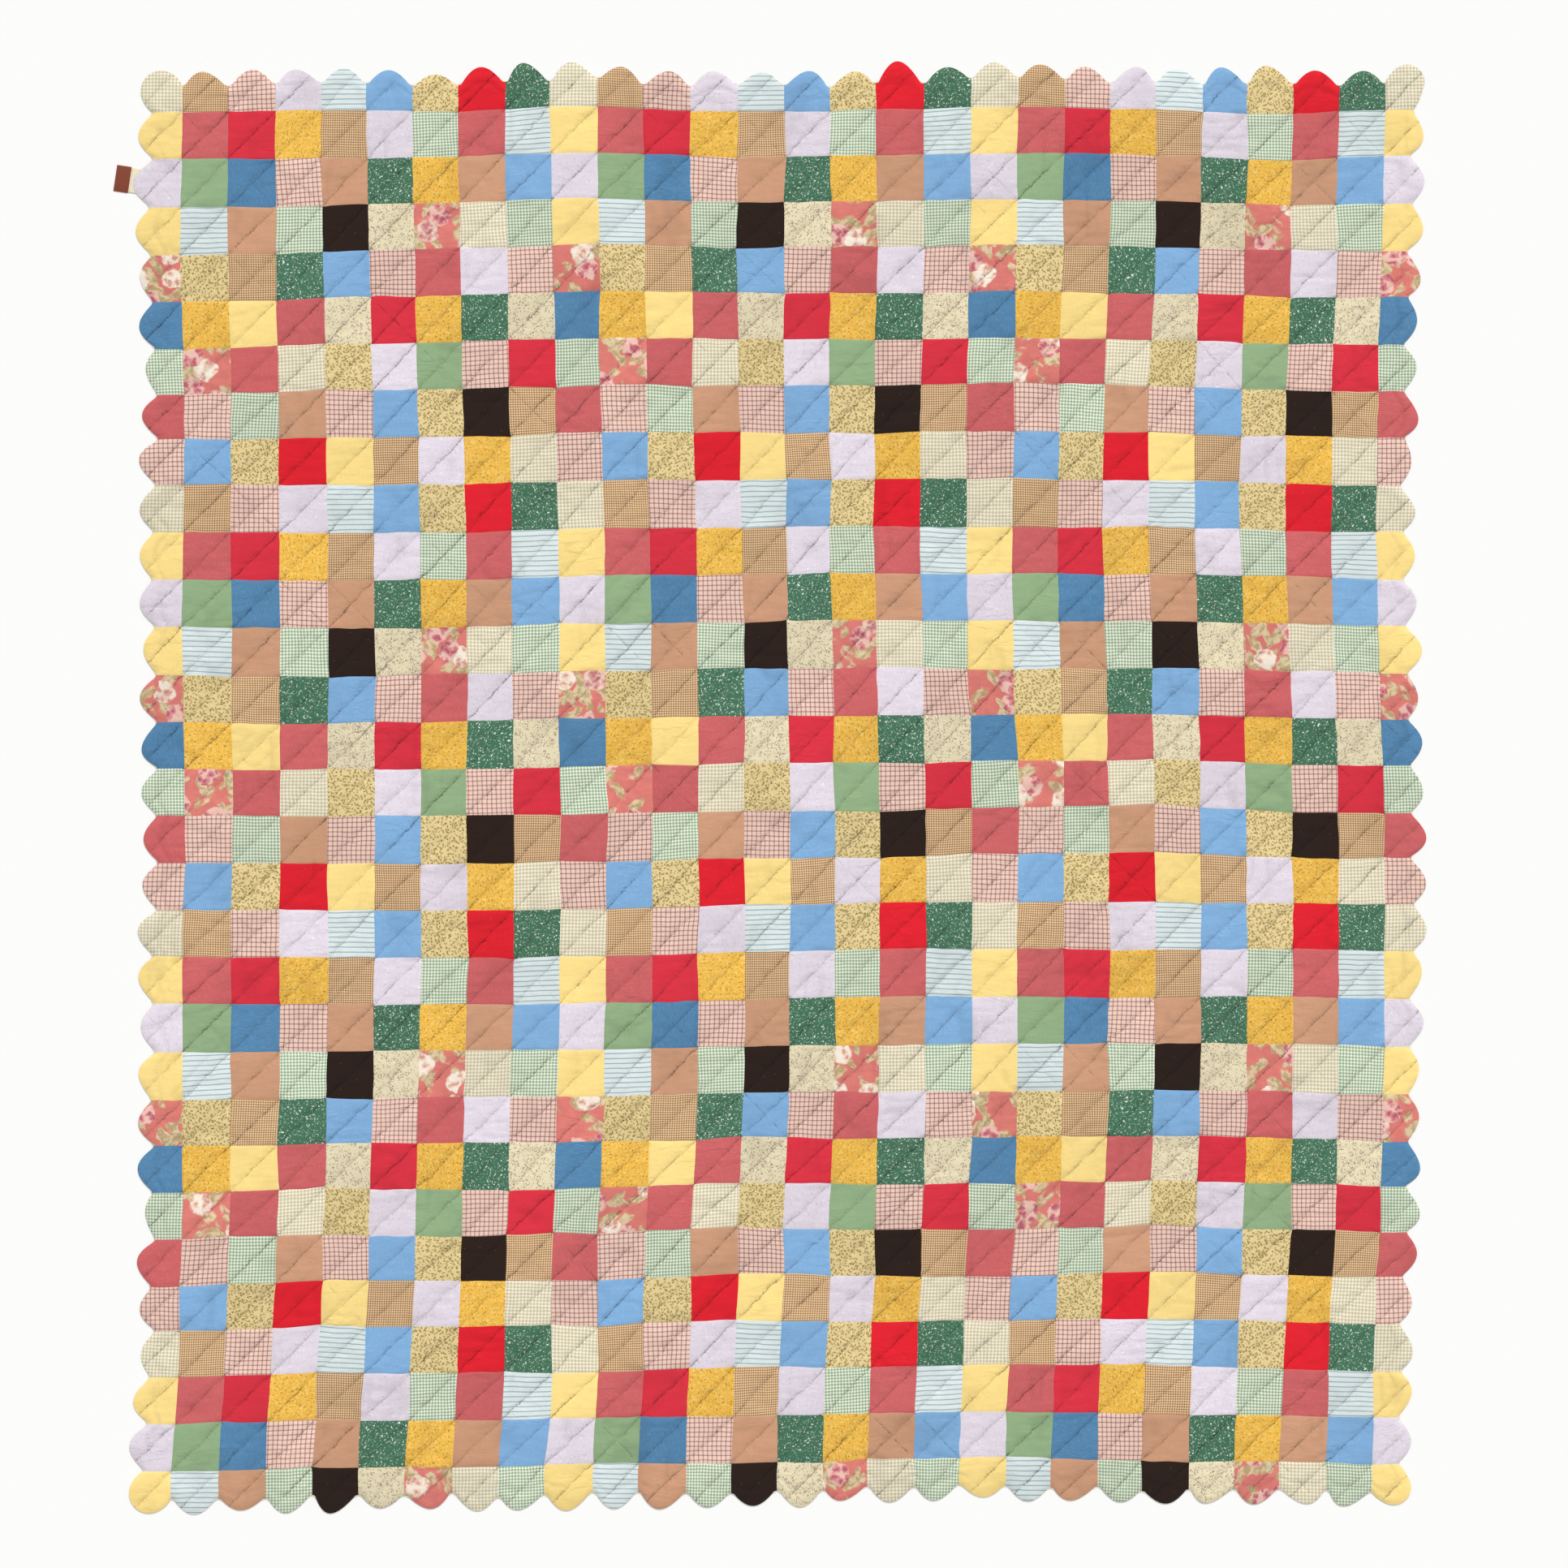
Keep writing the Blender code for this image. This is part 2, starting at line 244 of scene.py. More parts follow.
@dataclass
class SewnGrid:
    """Where the seams cross and how the edge is scalloped, with hand-sewn unevenness."""

    crossings: dict[tuple[int, int], Vector] = field(init=False)
    shoulders: list[list[Vector]] = field(init=False)
    lobes: dict[tuple[int, int], tuple[float, float]] = field(init=False)

    def __post_init__(self) -> None:
        """Places the crossings, the shoulders between lobes and each lobe's depth and lean."""
        rng = random.Random(SEED)
        self.crossings = {}
        for level in range(1, LAST_LEVEL + 1):
            for seam in range(1, LAST_SEAM + 1):
                x = (seam - COLUMNS / 2) * PITCH_ACROSS + self.stray(STRAY_RIGHT, seam, level)
                y = (ROWS / 2 - level) * PITCH_UP + self.stray(STRAY_UP, seam, level)
                error = Vector((rng.gauss(0, CROSSING_ERROR), rng.gauss(0, CROSSING_ERROR)))
                self.crossings[seam, level] = Vector((x, y)) + error
        rng = random.Random(SEED + 1)
        self.shoulders = []
        for side, row in zip(SIDES, self.border_rows()):
            reaches = [side.shoulder + rng.gauss(0, SHOULDER_ERROR) for _ in row]
            outward = Vector(side.outward)
            self.shoulders.append([p + outward * reach for p, reach in zip(row, reaches)])
        self.lobes = {}
        for number, side in enumerate(SIDES):
            for lobe in range(len(self.shoulders[number]) - 1):
                depth = (side.tip - side.shoulder) * (1 + rng.gauss(0, LOBE_DEPTH_ERROR))
                if (number, lobe) == LABEL_LOBE:
                    depth *= LABEL_LOBE_STRETCH
                self.lobes[number, lobe] = (depth, side.lean + rng.gauss(0, LOBE_LEAN_ERROR))

    @staticmethod
    def stray(table: dict[int, tuple[int, ...]], seam: int, level: int) -> float:
        """Reads a stray table between its rows and columns.

        Args:
            table: millimetres by level seam, for the upright seams of STRAY_SEAMS.
            seam: the upright seam.
            level: the level seam.

        Returns:
            The stray in metres.
        """
        levels = sorted(table)
        at_levels = [np.interp(seam, STRAY_SEAMS, table[row]) for row in levels]
        return float(np.interp(level, levels, at_levels)) * MM

    def border_rows(self) -> tuple[list[Vector], ...]:
        """The outermost crossings of each side, anticlockwise."""
        return (
            [self.crossings[seam, LAST_LEVEL] for seam in range(1, LAST_SEAM + 1)],
            [self.crossings[LAST_SEAM, level] for level in range(LAST_LEVEL, 0, -1)],
            [self.crossings[seam, 1] for seam in range(LAST_SEAM, 0, -1)],
            [self.crossings[1, level] for level in range(1, LAST_LEVEL + 1)],
        )

    def lobe_edge(self, number: int, lobe: int, shares: np.ndarray) -> np.ndarray:
        """Points along one lobe, from its first shoulder to its second.

        Args:
            number: the side's number.
            lobe: the lobe's number on that side.
            shares: places along it, from 0 to 1.

        Returns:
            An array of points, one row for each share.
        """
        side = SIDES[number]
        start, end = self.shoulders[number][lobe : lobe + 2]
        depth, lean = self.lobes[number, lobe]
        outward = Vector(side.outward)
        along = (end - start).normalized()
        points = []
        for share in shares.tolist():
            rise = depth * side.rise(2 * share - 1)
            points.append(start.lerp(end, share) + outward * rise + along * lean * rise)
        return np.array([list(p) for p in points])

    def corner_edge(self, number: int, shares: np.ndarray) -> np.ndarray:
        """Points along the corner lobe at the end of a side, anticlockwise.

        Args:
            number: the side's number.
            shares: places along it, from 0 to 1.

        Returns:
            An array of points, one row for each share.
        """
        side = SIDES[number]
        start = self.shoulders[number][-1]
        end = self.shoulders[(number + 1) % len(SIDES)][0]
        middle = self.border_rows()[number][-1] + Vector(side.corner)
        first = start - middle
        last = end - middle
        first_angle = math.atan2(first.y, first.x)
        sweep = (math.atan2(last.y, last.x) - first_angle) % (2 * math.pi)
        points = []
        for share in shares.tolist():
            near_first = max(0.0, 1 - share / CORNER_NECK) ** 2
            near_last = max(0.0, 1 - (1 - share) / CORNER_NECK) ** 2
            radius = side.radius
            radius += (first.length - side.radius) * near_first
            radius += (last.length - side.radius) * near_last
            angle = first_angle + sweep * share
            points.append(middle + radius * Vector((math.cos(angle), math.sin(angle))))
        return np.array([list(p) for p in points])

    def outline(self, shares: np.ndarray) -> np.ndarray:
        """The whole edge anticlockwise, without a repeated point.

        Args:
            shares: places along each lobe, from 0 to 1.

        Returns:
            An array of points.
        """
        runs = []
        for number in range(len(SIDES)):
            for lobe in range(len(self.shoulders[number]) - 1):
                runs.append(self.lobe_edge(number, lobe, shares)[:-1])
            half = np.concatenate([shares / 2, 0.5 + shares[1:] / 2])
            runs.append(self.corner_edge(number, half)[:-1])
        return np.concatenate(runs)


@dataclass
class Patch:
    """One patch of the top: its place in the quilt and the four curves it lies between."""

    column: int
    row: int
    bottom: np.ndarray
    top: np.ndarray
    left: np.ndarray
    right: np.ndarray

    @property
    def fabric(self) -> str:
        """The name of the fabric that the chart gives this patch."""
        return CHART[self.row % REPEAT].split()[self.column % REPEAT]


@dataclass
class PatchPlan:
    """The patches cut up into cells, with every map that the cloth is shaped and dyed by."""

    grid: SewnGrid
    spacing: np.ndarray
    patches: list[Patch] = field(init=False, repr=False)
    places: np.ndarray = field(init=False, repr=False)
    across: np.ndarray = field(init=False, repr=False)
    down: np.ndarray = field(init=False, repr=False)
    rim: np.ndarray = field(init=False, repr=False)

    def __post_init__(self) -> None:
        """Lays the cells of every patch between its four curves."""
        self.patches = [self.patch(c, r) for r in range(ROWS) for c in range(COLUMNS)]
        self.places = np.stack([self.fill(p) for p in self.patches])
        maps = [self.seam_numbers(p, self.places[k]) for k, p in enumerate(self.patches)]
        self.across = np.stack([m[0] for m in maps])
        self.down = np.stack([m[1] for m in maps])
        self.rim = np.stack([self.nearness_to_rim(p) for p in self.patches])

    def line(self, start: Vector, end: Vector) -> np.ndarray:
        """Points on a straight seam at the plan's spacing."""
        a = np.array(start)
        b = np.array(end)
        return a + (b - a) * self.spacing[:, None]

    def patch(self, c: int, r: int) -> Patch:
        """Finds the four curves of one patch.

        Args:
            c: its column, from the left.
            r: its row, from the top.

        Returns:
            The patch, with bottom and top running right, and left and right running up.
        """
        s = self.spacing
        grid = self.grid
        crossing = grid.crossings
        shoulders = grid.shoulders
        half_in = s / 2
        half_out = 0.5 + s / 2
        west, east, north, south = c == 0, c == COLUMNS - 1, r == 0, r == ROWS - 1
        if not (west or east or north or south):
            lower_left, lower_right = crossing[c, r + 1], crossing[c + 1, r + 1]
            upper_left, upper_right = crossing[c, r], crossing[c + 1, r]
            return Patch(
                c, r,
                self.line(lower_left, lower_right), self.line(upper_left, upper_right),
                self.line(lower_left, upper_left), self.line(lower_right, upper_right),
            )
        if north and west:
            hub, above, beside = crossing[1, 1], shoulders[2][-1], shoulders[3][0]
            return Patch(
                c, r,
                self.line(beside, hub), grid.corner_edge(2, half_in)[::-1],
                grid.corner_edge(2, half_out)[::-1], self.line(hub, above),
            )
        if north and east:
            hub, above, beside = crossing[LAST_SEAM, 1], shoulders[2][0], shoulders[1][-1]
            return Patch(
                c, r,
                self.line(hub, beside), grid.corner_edge(1, half_out)[::-1],
                self.line(hub, above), grid.corner_edge(1, half_in),
            )
        if south and west:
            hub, below, beside = crossing[1, LAST_LEVEL], shoulders[0][0], shoulders[3][-1]
            return Patch(
                c, r,
                grid.corner_edge(3, half_out), self.line(beside, hub),
                grid.corner_edge(3, half_in)[::-1], self.line(below, hub),
            )
        if south and east:
            hub, below, beside = crossing[LAST_SEAM, LAST_LEVEL], shoulders[0][-1], shoulders[1][0]
            return Patch(
                c, r,
                grid.corner_edge(0, half_in), self.line(hub, beside),
                self.line(below, hub), grid.corner_edge(0, half_out),
            )
        if north:
            lobe = LAST_SEAM - 1 - c
            start, end = crossing[c, 1], crossing[c + 1, 1]
            row = shoulders[2]
            return Patch(
                c, r,
                self.line(start, end), grid.lobe_edge(2, lobe, 1 - s),
                self.line(start, row[lobe + 1]), self.line(end, row[lobe]),
            )
        if south:
            lobe = c - 1
            start, end = crossing[c, LAST_LEVEL], crossing[c + 1, LAST_LEVEL]
            row = shoulders[0]
            return Patch(
                c, r,
                grid.lobe_edge(0, lobe, s), self.line(start, end),
                self.line(row[lobe], start), self.line(row[lobe + 1], end),
            )
        if east:
            lobe = LAST_LEVEL - 1 - r
            start, end = crossing[LAST_SEAM, r + 1], crossing[LAST_SEAM, r]
            row = shoulders[1]
            return Patch(
                c, r,
                self.line(start, row[lobe]), self.line(end, row[lobe + 1]),
                self.line(start, end), grid.lobe_edge(1, lobe, s),
            )
        lobe = r - 1
        start, end = crossing[1, r + 1], crossing[1, r]
        row = shoulders[3]
        return Patch(
            c, r,
            self.line(row[lobe + 1], start), self.line(row[lobe], end),
            grid.lobe_edge(3, lobe, 1 - s), self.line(start, end),
        )

    def fill(self, patch: Patch) -> np.ndarray:
        """Blends a patch's four curves into a grid of points.

        Args:
            patch: the patch.

        Returns:
            Points by step up, step across and x or y.
        """
        if patch.column in (0, COLUMNS - 1) and patch.row in (0, ROWS - 1):
            return self.fan(patch)
        u = self.spacing[None, :, None]
        v = self.spacing[:, None, None]
        between_levels = (1 - v) * patch.bottom[None] + v * patch.top[None]
        between_uprights = (1 - u) * patch.left[:, None] + u * patch.right[:, None]
        flat = (
            (1 - u) * (1 - v) * patch.bottom[0]
            + u * (1 - v) * patch.bottom[-1]
            + (1 - u) * v * patch.top[0]
            + u * v * patch.top[-1]
        )
        return between_levels + between_uprights - flat

    def fan(self, patch: Patch) -> np.ndarray:
        """Fans a corner patch out from its seam crossing to its round edge.

        Args:
            patch: the corner patch.

        Returns:
            Points by step up, step across and x or y.
        """
        s = self.spacing
        west, north = patch.column == 0, patch.row == 0
        side = patch.left if west else patch.right
        end = patch.top if north else patch.bottom
        hub = (patch.right if west else patch.left)[0 if north else -1]
        out_across = np.broadcast_to((1 - s if west else s)[None, :], (len(s), len(s)))
        out_up = np.broadcast_to((s if north else 1 - s)[:, None], (len(s), len(s)))
        reach = np.maximum(out_across, out_up)
        safe = np.maximum(reach, 1e-9)
        along_side = out_up / safe if north else 1 - out_up / safe
        along_end = 1 - out_across / safe if west else out_across / safe
        places = []
        for axis in (0, 1):
            on_side = np.interp(along_side, s, side[:, axis])
            on_end = np.interp(along_end, s, end[:, axis])
            edge = np.where(out_across >= out_up, on_side, on_end)
            places.append(hub[axis] + reach * (edge - hub[axis]))
        return np.stack(places, axis=-1)

    def seam_numbers(self, patch: Patch, places: np.ndarray) -> tuple[np.ndarray, np.ndarray]:
        """Counts seams from the left and from the top at every point of a patch.

        Args:
            patch: the patch.
            places: its points.

        Returns:
            The upright seams' count and the level seams' count, with fractions.
        """
        c, r = patch.column, patch.row
        inner_columns = 0 < c < COLUMNS - 1
        inner_rows = 0 < r < ROWS - 1
        if inner_columns and inner_rows:
            u = np.broadcast_to(self.spacing[None, :], places.shape[:2])
            v = np.broadcast_to(self.spacing[:, None], places.shape[:2])
            return c + u, r + 1 - v
        seam = min(max(c, 1), LAST_SEAM)
        level = min(max(r, 1), LAST_LEVEL)
        hub = self.grid.crossings[seam, level]
        a = np.array((PITCH_ACROSS, 0.0))
        b = np.array((0.0, -PITCH_UP))
        if inner_columns:
            a = np.array(self.grid.crossings[seam + 1, level] - hub)
        if inner_rows:
            b = np.array(self.grid.crossings[seam, level + 1] - hub)
        steps = (places - np.array(hub)) @ np.linalg.inv(np.stack([a, b]))
        return seam + steps[..., 0], level + steps[..., 1]

    def nearness_to_rim(self, patch: Patch) -> np.ndarray:
        """Finds how near each point of a patch is to the quilt's edge.

        Args:
            patch: the patch.

        Returns:
            Shares from 0 at its seam to 1 at the edge.
        """
        u = np.broadcast_to(self.spacing[None, :], (len(self.spacing),) * 2)
        v = u.T
        out_across = np.zeros_like(u)
        out_up = np.zeros_like(u)
        if patch.column == 0:
            out_across = 1 - u
        if patch.column == COLUMNS - 1:
            out_across = u
        if patch.row == 0:
            out_up = v
        if patch.row == ROWS - 1:
            out_up = 1 - v
        return np.maximum(out_across, out_up)


def graded_spacing(cells: int, first: float) -> np.ndarray:
    """Cell edges from 0 to 1, closer together at both ends.

    Args:
        cells: the number of cells, which is even.
        first: the first cell's share of an even cell.

    Returns:
        The edges, the same from either end.
    """
    widths = np.ones(cells)
    widths[0] = widths[-1] = first
    widths[1] = widths[-2] = (1 + first) / 2
    edges = np.concatenate([[0.0], np.cumsum(widths) / widths.sum()])
    return (edges + 1 - edges[::-1]) / 2


@dataclass
class QuiltedRelief:
    """How quilting and washing raise, pinch and pucker the cloth.

    Heights and sideways moves are in metres. Reaches and lengths are in mm along or across a stitch line.
    """

    stitch_height: float = 3.0 * MM
    puff: float = 2.9 * MM
    puff_reach: float = 7.0
    rim_height: float = 1.3 * MM
    rim_gap: float = 0.12 * MM
    wander: float = 1.6 * MM
    wander_length: float = 9.0
    wander_reach: float = 6.0
    wobble: float = 0.8 * MM
    wobble_size: float = 24 * MM
    swell: float = 0.7 * MM
    pucker: float = 0.75 * MM
    pucker_length: float = 7.5
    pucker_reach: float = 13.0
    crease: float = 1.35 * MM
    seam_ditch: float = 0.55 * MM
    ditch_reach: float = 1.8
    drawn_up: float = 1.1 * MM
    drawn_reach: float = 3.0

    def cross_line(self, across: np.ndarray, down: np.ndarray) -> np.ndarray:
        """Signed distance to the nearest slanting stitch line, in mm."""
        lines = across + down
        return (lines - np.round(lines)) * LINE_SPACING

    def along_line(self, across: np.ndarray, down: np.ndarray) -> np.ndarray:
        """Distance along the slanting stitch lines, in mm."""
        return (across - down) * LINE_SPACING

    def shifted(self, plan: PatchPlan) -> np.ndarray:
        """Moves the plan's points sideways, as puckers and hand sewing do.

        Args:
            plan: the patches in cells.

        Returns:
            The moved points.
        """
        x, y = plan.places[..., 0], plan.places[..., 1]
        off = self.cross_line(plan.across, plan.down)
        run = self.along_line(plan.across, plan.down)
        row = np.round(plan.across + plan.down)
        inside = 1 - plan.rim**4
        wander = Layer.WANDER.at(run / self.wander_length, row * 3.7)
        push = self.wander * wander * np.exp(-((off / self.wander_reach) ** 2)) * inside
        moved = plan.places.copy()
        moved[..., 0] += push / math.sqrt(2)
        moved[..., 1] -= push / math.sqrt(2)
        size = self.wobble_size
        moved[..., 0] += self.wobble * inside * Layer.SIDEWAYS.at(x / size, y / size)
        moved[..., 1] += self.wobble * inside * Layer.UPWARDS.at(x / size, y / size)
        return moved

    def pinch(self, plan: PatchPlan) -> np.ndarray:
        """How hard the stitches pull at every point: uneven along each line.

        Args:
            plan: the patches in cells.

        Returns:
            Shares from 0 to 1.
        """
        run = self.along_line(plan.across, plan.down)
        row = np.round(plan.across + plan.down)
        uneven = Layer.PINCH.at(run / 16.0, row * 2.3)
        return np.clip(0.72 + 0.42 * uneven, 0.15, 1.0)

    def top(self, plan: PatchPlan) -> tuple[np.ndarray, np.ndarray]:
        """Heights of the quilted top, and how deep in a fold or stitch groove each point lies, for painted
        shade.

        Args:
            plan: the patches in cells.

        Returns:
            The heights in metres, and the fold depths from 0 to 1, which darken the colour as painted shade.
        """
        x, y = plan.places[..., 0], plan.places[..., 1]
        off = self.cross_line(plan.across, plan.down)
        run = self.along_line(plan.across, plan.down)
        side = np.sign(off)
        pinch = self.pinch(plan)
        groove = np.exp(-np.abs(off) / self.puff_reach) * (0.55 + 0.45 * pinch)
        height = self.stitch_height + self.puff * (1 - groove)
        away = np.abs(off)
        ripple = Layer.RIPPLE.at(run / self.pucker_length + 40 * side, away / 26.0 + side * 9)
        fading = 1 - (away * 2 / LINE_SPACING) ** 3
        near_line = np.exp(-away / self.pucker_reach) * (1 - np.exp(-away / 2.5)) * fading
        height += self.pucker * ripple * near_line
        height += self.swell * Layer.SWELL.at(x / 0.045, y / 0.032)
        height += 0.4 * self.swell * Layer.FINE_SWELL.at(x / 0.018, y / 0.012)
        shoulder = plan.rim - 0.58 - 0.10 * Layer.SHOULDER.at(x / 0.03, y / 0.03)
        shoulder_here = np.clip(1.5 * Layer.SHOULDER_HERE.at(x / 0.08, y / 0.08) + 0.45, 0, 1)
        shoulder_fold = np.exp(-((shoulder / 0.07) ** 2)) * shoulder_here
        folds = np.clip(self.creases(x, y) + shoulder_fold, 0, 1)
        height -= self.crease * folds
        seam = np.minimum(np.abs(plan.across - np.round(plan.across)) * PATCH_MM,
                          np.abs(plan.down - np.round(plan.down)) * PATCH_MM)
        height -= self.seam_ditch * np.exp(-seam / self.ditch_reach)
        height = self.rim_height + (height - self.rim_height) * (1 - plan.rim**7)
        # Painted shade: how dark the colour is painted in the stitch grooves and in the folds.
        depth = np.clip(0.5 * np.exp(-np.abs(off) / 3.0) * pinch + 0.6 * folds, 0, 1)
        return height, depth

    def creases(self, x: np.ndarray, y: np.ndarray) -> np.ndarray:
        """Washed-in creases, most of them level, some upright and some slanting.

        Args:
            x: places across.
            y: places up.

        Returns:
            Their depth, from 0 to 1.
        """
        level = Layer.LEVEL_CREASE.at(x / 0.060, y / 0.019)
        level_here = np.clip(1.6 * Layer.LEVEL_HERE.at(x / 0.055, y / 0.040), 0, 1)
        upright = Layer.UPRIGHT_CREASE.at(x / 0.021, y / 0.060)
        upright_here = np.clip(1.6 * Layer.UPRIGHT_HERE.at(x / 0.045, y / 0.060) - 0.35, 0, 1)
        slant = Layer.SLANT_CREASE.at((x - y) / 0.030, (x + y) / 0.090)
        slant_here = np.clip(1.6 * Layer.SLANT_HERE.at(x / 0.060, y / 0.060) - 0.45, 0, 1)
        return np.clip(
            np.exp(-((level / 0.20) ** 2)) * level_here
            + np.exp(-((upright / 0.20) ** 2)) * upright_here
            + np.exp(-((slant / 0.16) ** 2)) * slant_here,
            0, 1,
        )

    def soft_blotches(self, plan: PatchPlan) -> np.ndarray:
        """Soft blotches of fading in the wash.

        Args:
            plan: the patches in cells.

        Returns:
            Values about 0.5.
        """
        x, y = plan.places[..., 0], plan.places[..., 1]
        blotches = np.full(x.shape, 0.5)
        for layer, size, share in (
            (Layer.BLOTCH, 0.045, 0.16), (Layer.MIDDLE_BLOTCH, 0.022, 0.10), (Layer.FINE_BLOTCH, 0.011, 0.06)
        ):
            blotches += share * layer.at(x / size, y / size)
        return blotches

    def firmness(self, plan: PatchPlan) -> tuple[np.ndarray, np.ndarray]:
        """How plainly the stitch lines and the creases across them show, in their bump and in their painted
        shade.

        Args:
            plan: the patches in cells.

        Returns:
            Two sets of shares from 0 to 1.
        """
        run = plan.across - plan.down
        lines = plan.across + plan.down
        noise = Layer.FIRM.at(run * 4.5, lines * 4.5)
        noise = noise + 0.4 * Layer.FINE_FIRM.at(run * 11, lines * 11)
        return np.clip(0.66 + 0.75 * noise, 0.15, 1.0), np.clip(0.5 + 1.6 * noise, 0.0, 1.0)

    def underside(self, plan: PatchPlan) -> np.ndarray:
        """Shapes the backing, which rests on the ground between its drawn-up stitch lines.

        Args:
            plan: the patches in cells.

        Returns:
            The heights in metres.
        """
        off = np.abs(self.cross_line(plan.across, plan.down))
        height = self.drawn_up * np.exp(-off / self.drawn_reach) * self.pinch(plan)
        return height + (self.rim_height - self.rim_gap - height) * plan.rim**9


def grid_faces(count: int, steps: int) -> np.ndarray:
    """Four-sided faces of several square grids of points.

    Args:
        count: how many grids there are.
        steps: the points along one side of each.

    Returns:
        Rows of four point numbers, anticlockwise.
    """
    start = np.arange(steps - 1)[:, None] * steps + np.arange(steps - 1)[None, :]
    cell = np.stack([start, start + 1, start + steps + 1, start + steps], axis=-1).reshape(-1, 4)
    return (cell[None] + np.arange(count)[:, None, None] * steps * steps).reshape(-1, 4)


def cloth_object(
    name: str,
    points: np.ndarray,
    faces: np.ndarray,
    maps: dict[str, np.ndarray],
    values: dict[str, np.ndarray],
) -> bpy.types.Object:
    """Makes a smooth mesh object with its maps.

    Args:
        name: the piece's name.
        points: rows of x, y and z.
        faces: rows of point numbers.
        maps: UV maps by name, two numbers for each point.
        values: attributes by name, one number for each point.

    Returns:
        The new object.
    """
    mesh = bpy.data.meshes.new(name)
    mesh.from_pydata(points.tolist(), [], faces.tolist())
    corners = faces.reshape(-1)
    for map_name, pairs in maps.items():
        layer = mesh.uv_layers.new(name=map_name)
        layer.uv.foreach_set("vector", pairs[corners].astype(np.float32).ravel())
    for value_name, numbers in values.items():
        attribute = mesh.attributes.new(value_name, "FLOAT", "POINT")
        attribute.data.foreach_set("value", numbers.astype(np.float32))
    mesh.shade_smooth()
    mesh.validate()
    piece = bpy.data.objects.new(name, mesh)
    bpy.context.scene.collection.objects.link(piece)
    return piece


SocketValue = bpy.types.NodeSocket | float | tuple


@dataclass
class Wiring:
    """Adds nodes to a tree and links them."""

    tree: bpy.types.NodeTree

    def node(self, kind: str, inputs: dict | None = None, **settings: object) -> bpy.types.Node:
        """Adds one node.

        Args:
            kind: Blender's name of the node.
            inputs: sockets or values by input name or number.
            settings: the node's own options.

        Returns:
            The node.
        """
        node = self.tree.nodes.new(kind)
        for key, value in settings.items():
            setattr(node, key, value)
        for key, value in (inputs or {}).items():
            self.feed(node.inputs[key], value)
        return node

    def feed(self, socket: bpy.types.NodeSocket, value: SocketValue) -> None:
        """Links a socket to another, or sets its value."""
        if isinstance(value, bpy.types.NodeSocket):
            self.tree.links.new(value, socket)
        elif socket.type == "RGBA" and len(value) == 3:
            socket.default_value = (*value, 1.0)
        else:
            socket.default_value = value

    def math(self, operation: str, *values: SocketValue) -> bpy.types.NodeSocket:
        """One arithmetic step, and its result."""
        return self.node("ShaderNodeMath", dict(enumerate(values)), operation=operation).outputs[0]

    def ramp(self, value: SocketValue, low: float, high: float,
             start: float = 0.0, end: float = 1.0) -> bpy.types.NodeSocket:
        """Eases from start to end while the value goes from low to high."""
        inputs = {"Value": value, "From Min": low, "From Max": high, "To Min": start, "To Max": end}
        return self.node("ShaderNodeMapRange", inputs, interpolation_type="SMOOTHSTEP").outputs[0]

    def clamped(self, value: SocketValue) -> bpy.types.NodeSocket:
        """Keeps a value between 0 and 1."""
        return self.node("ShaderNodeClamp", {0: value}).outputs[0]

    def scaled(self, colour: SocketValue, amount: SocketValue) -> bpy.types.NodeSocket:
        """Multiplies a colour or a place by a number."""
        node = self.node("ShaderNodeVectorMath", {0: colour}, operation="SCALE")
        self.feed(node.inputs["Scale"], amount)
        return node.outputs[0]

    def blend(self, share: SocketValue, a: SocketValue, b: SocketValue,
              mode: str = "MIX") -> bpy.types.NodeSocket:
        """Mixes two colours."""
        inputs = {0: share, 6: a, 7: b}
        node = self.node("ShaderNodeMix", inputs, data_type="RGBA", blend_type=mode)
        return node.outputs[2]

    def noise(self, place: bpy.types.NodeSocket, scale: float, detail: float = 2.0,
              rough: float = 0.5) -> bpy.types.Node:
        """A noise texture."""
        inputs = {"Vector": place, "Scale": scale, "Detail": detail, "Roughness": rough}
        return self.node("ShaderNodeTexNoise", inputs)

    def turned(self, place: bpy.types.NodeSocket, degrees: float = 0.0,
               scale: tuple = (1.0, 1.0, 1.0), shift: tuple = (0.0, 0.0, 0.0)) -> bpy.types.NodeSocket:
        """Turns a pattern, then makes it finer by the scale along its own axes."""
        inputs = {
            "Vector": place,
            "Location": shift,
            "Rotation": (0.0, 0.0, math.radians(degrees)),
            "Scale": tuple(1 / s for s in scale),
        }
        return self.node("ShaderNodeMapping", inputs, vector_type="TEXTURE").outputs[0]


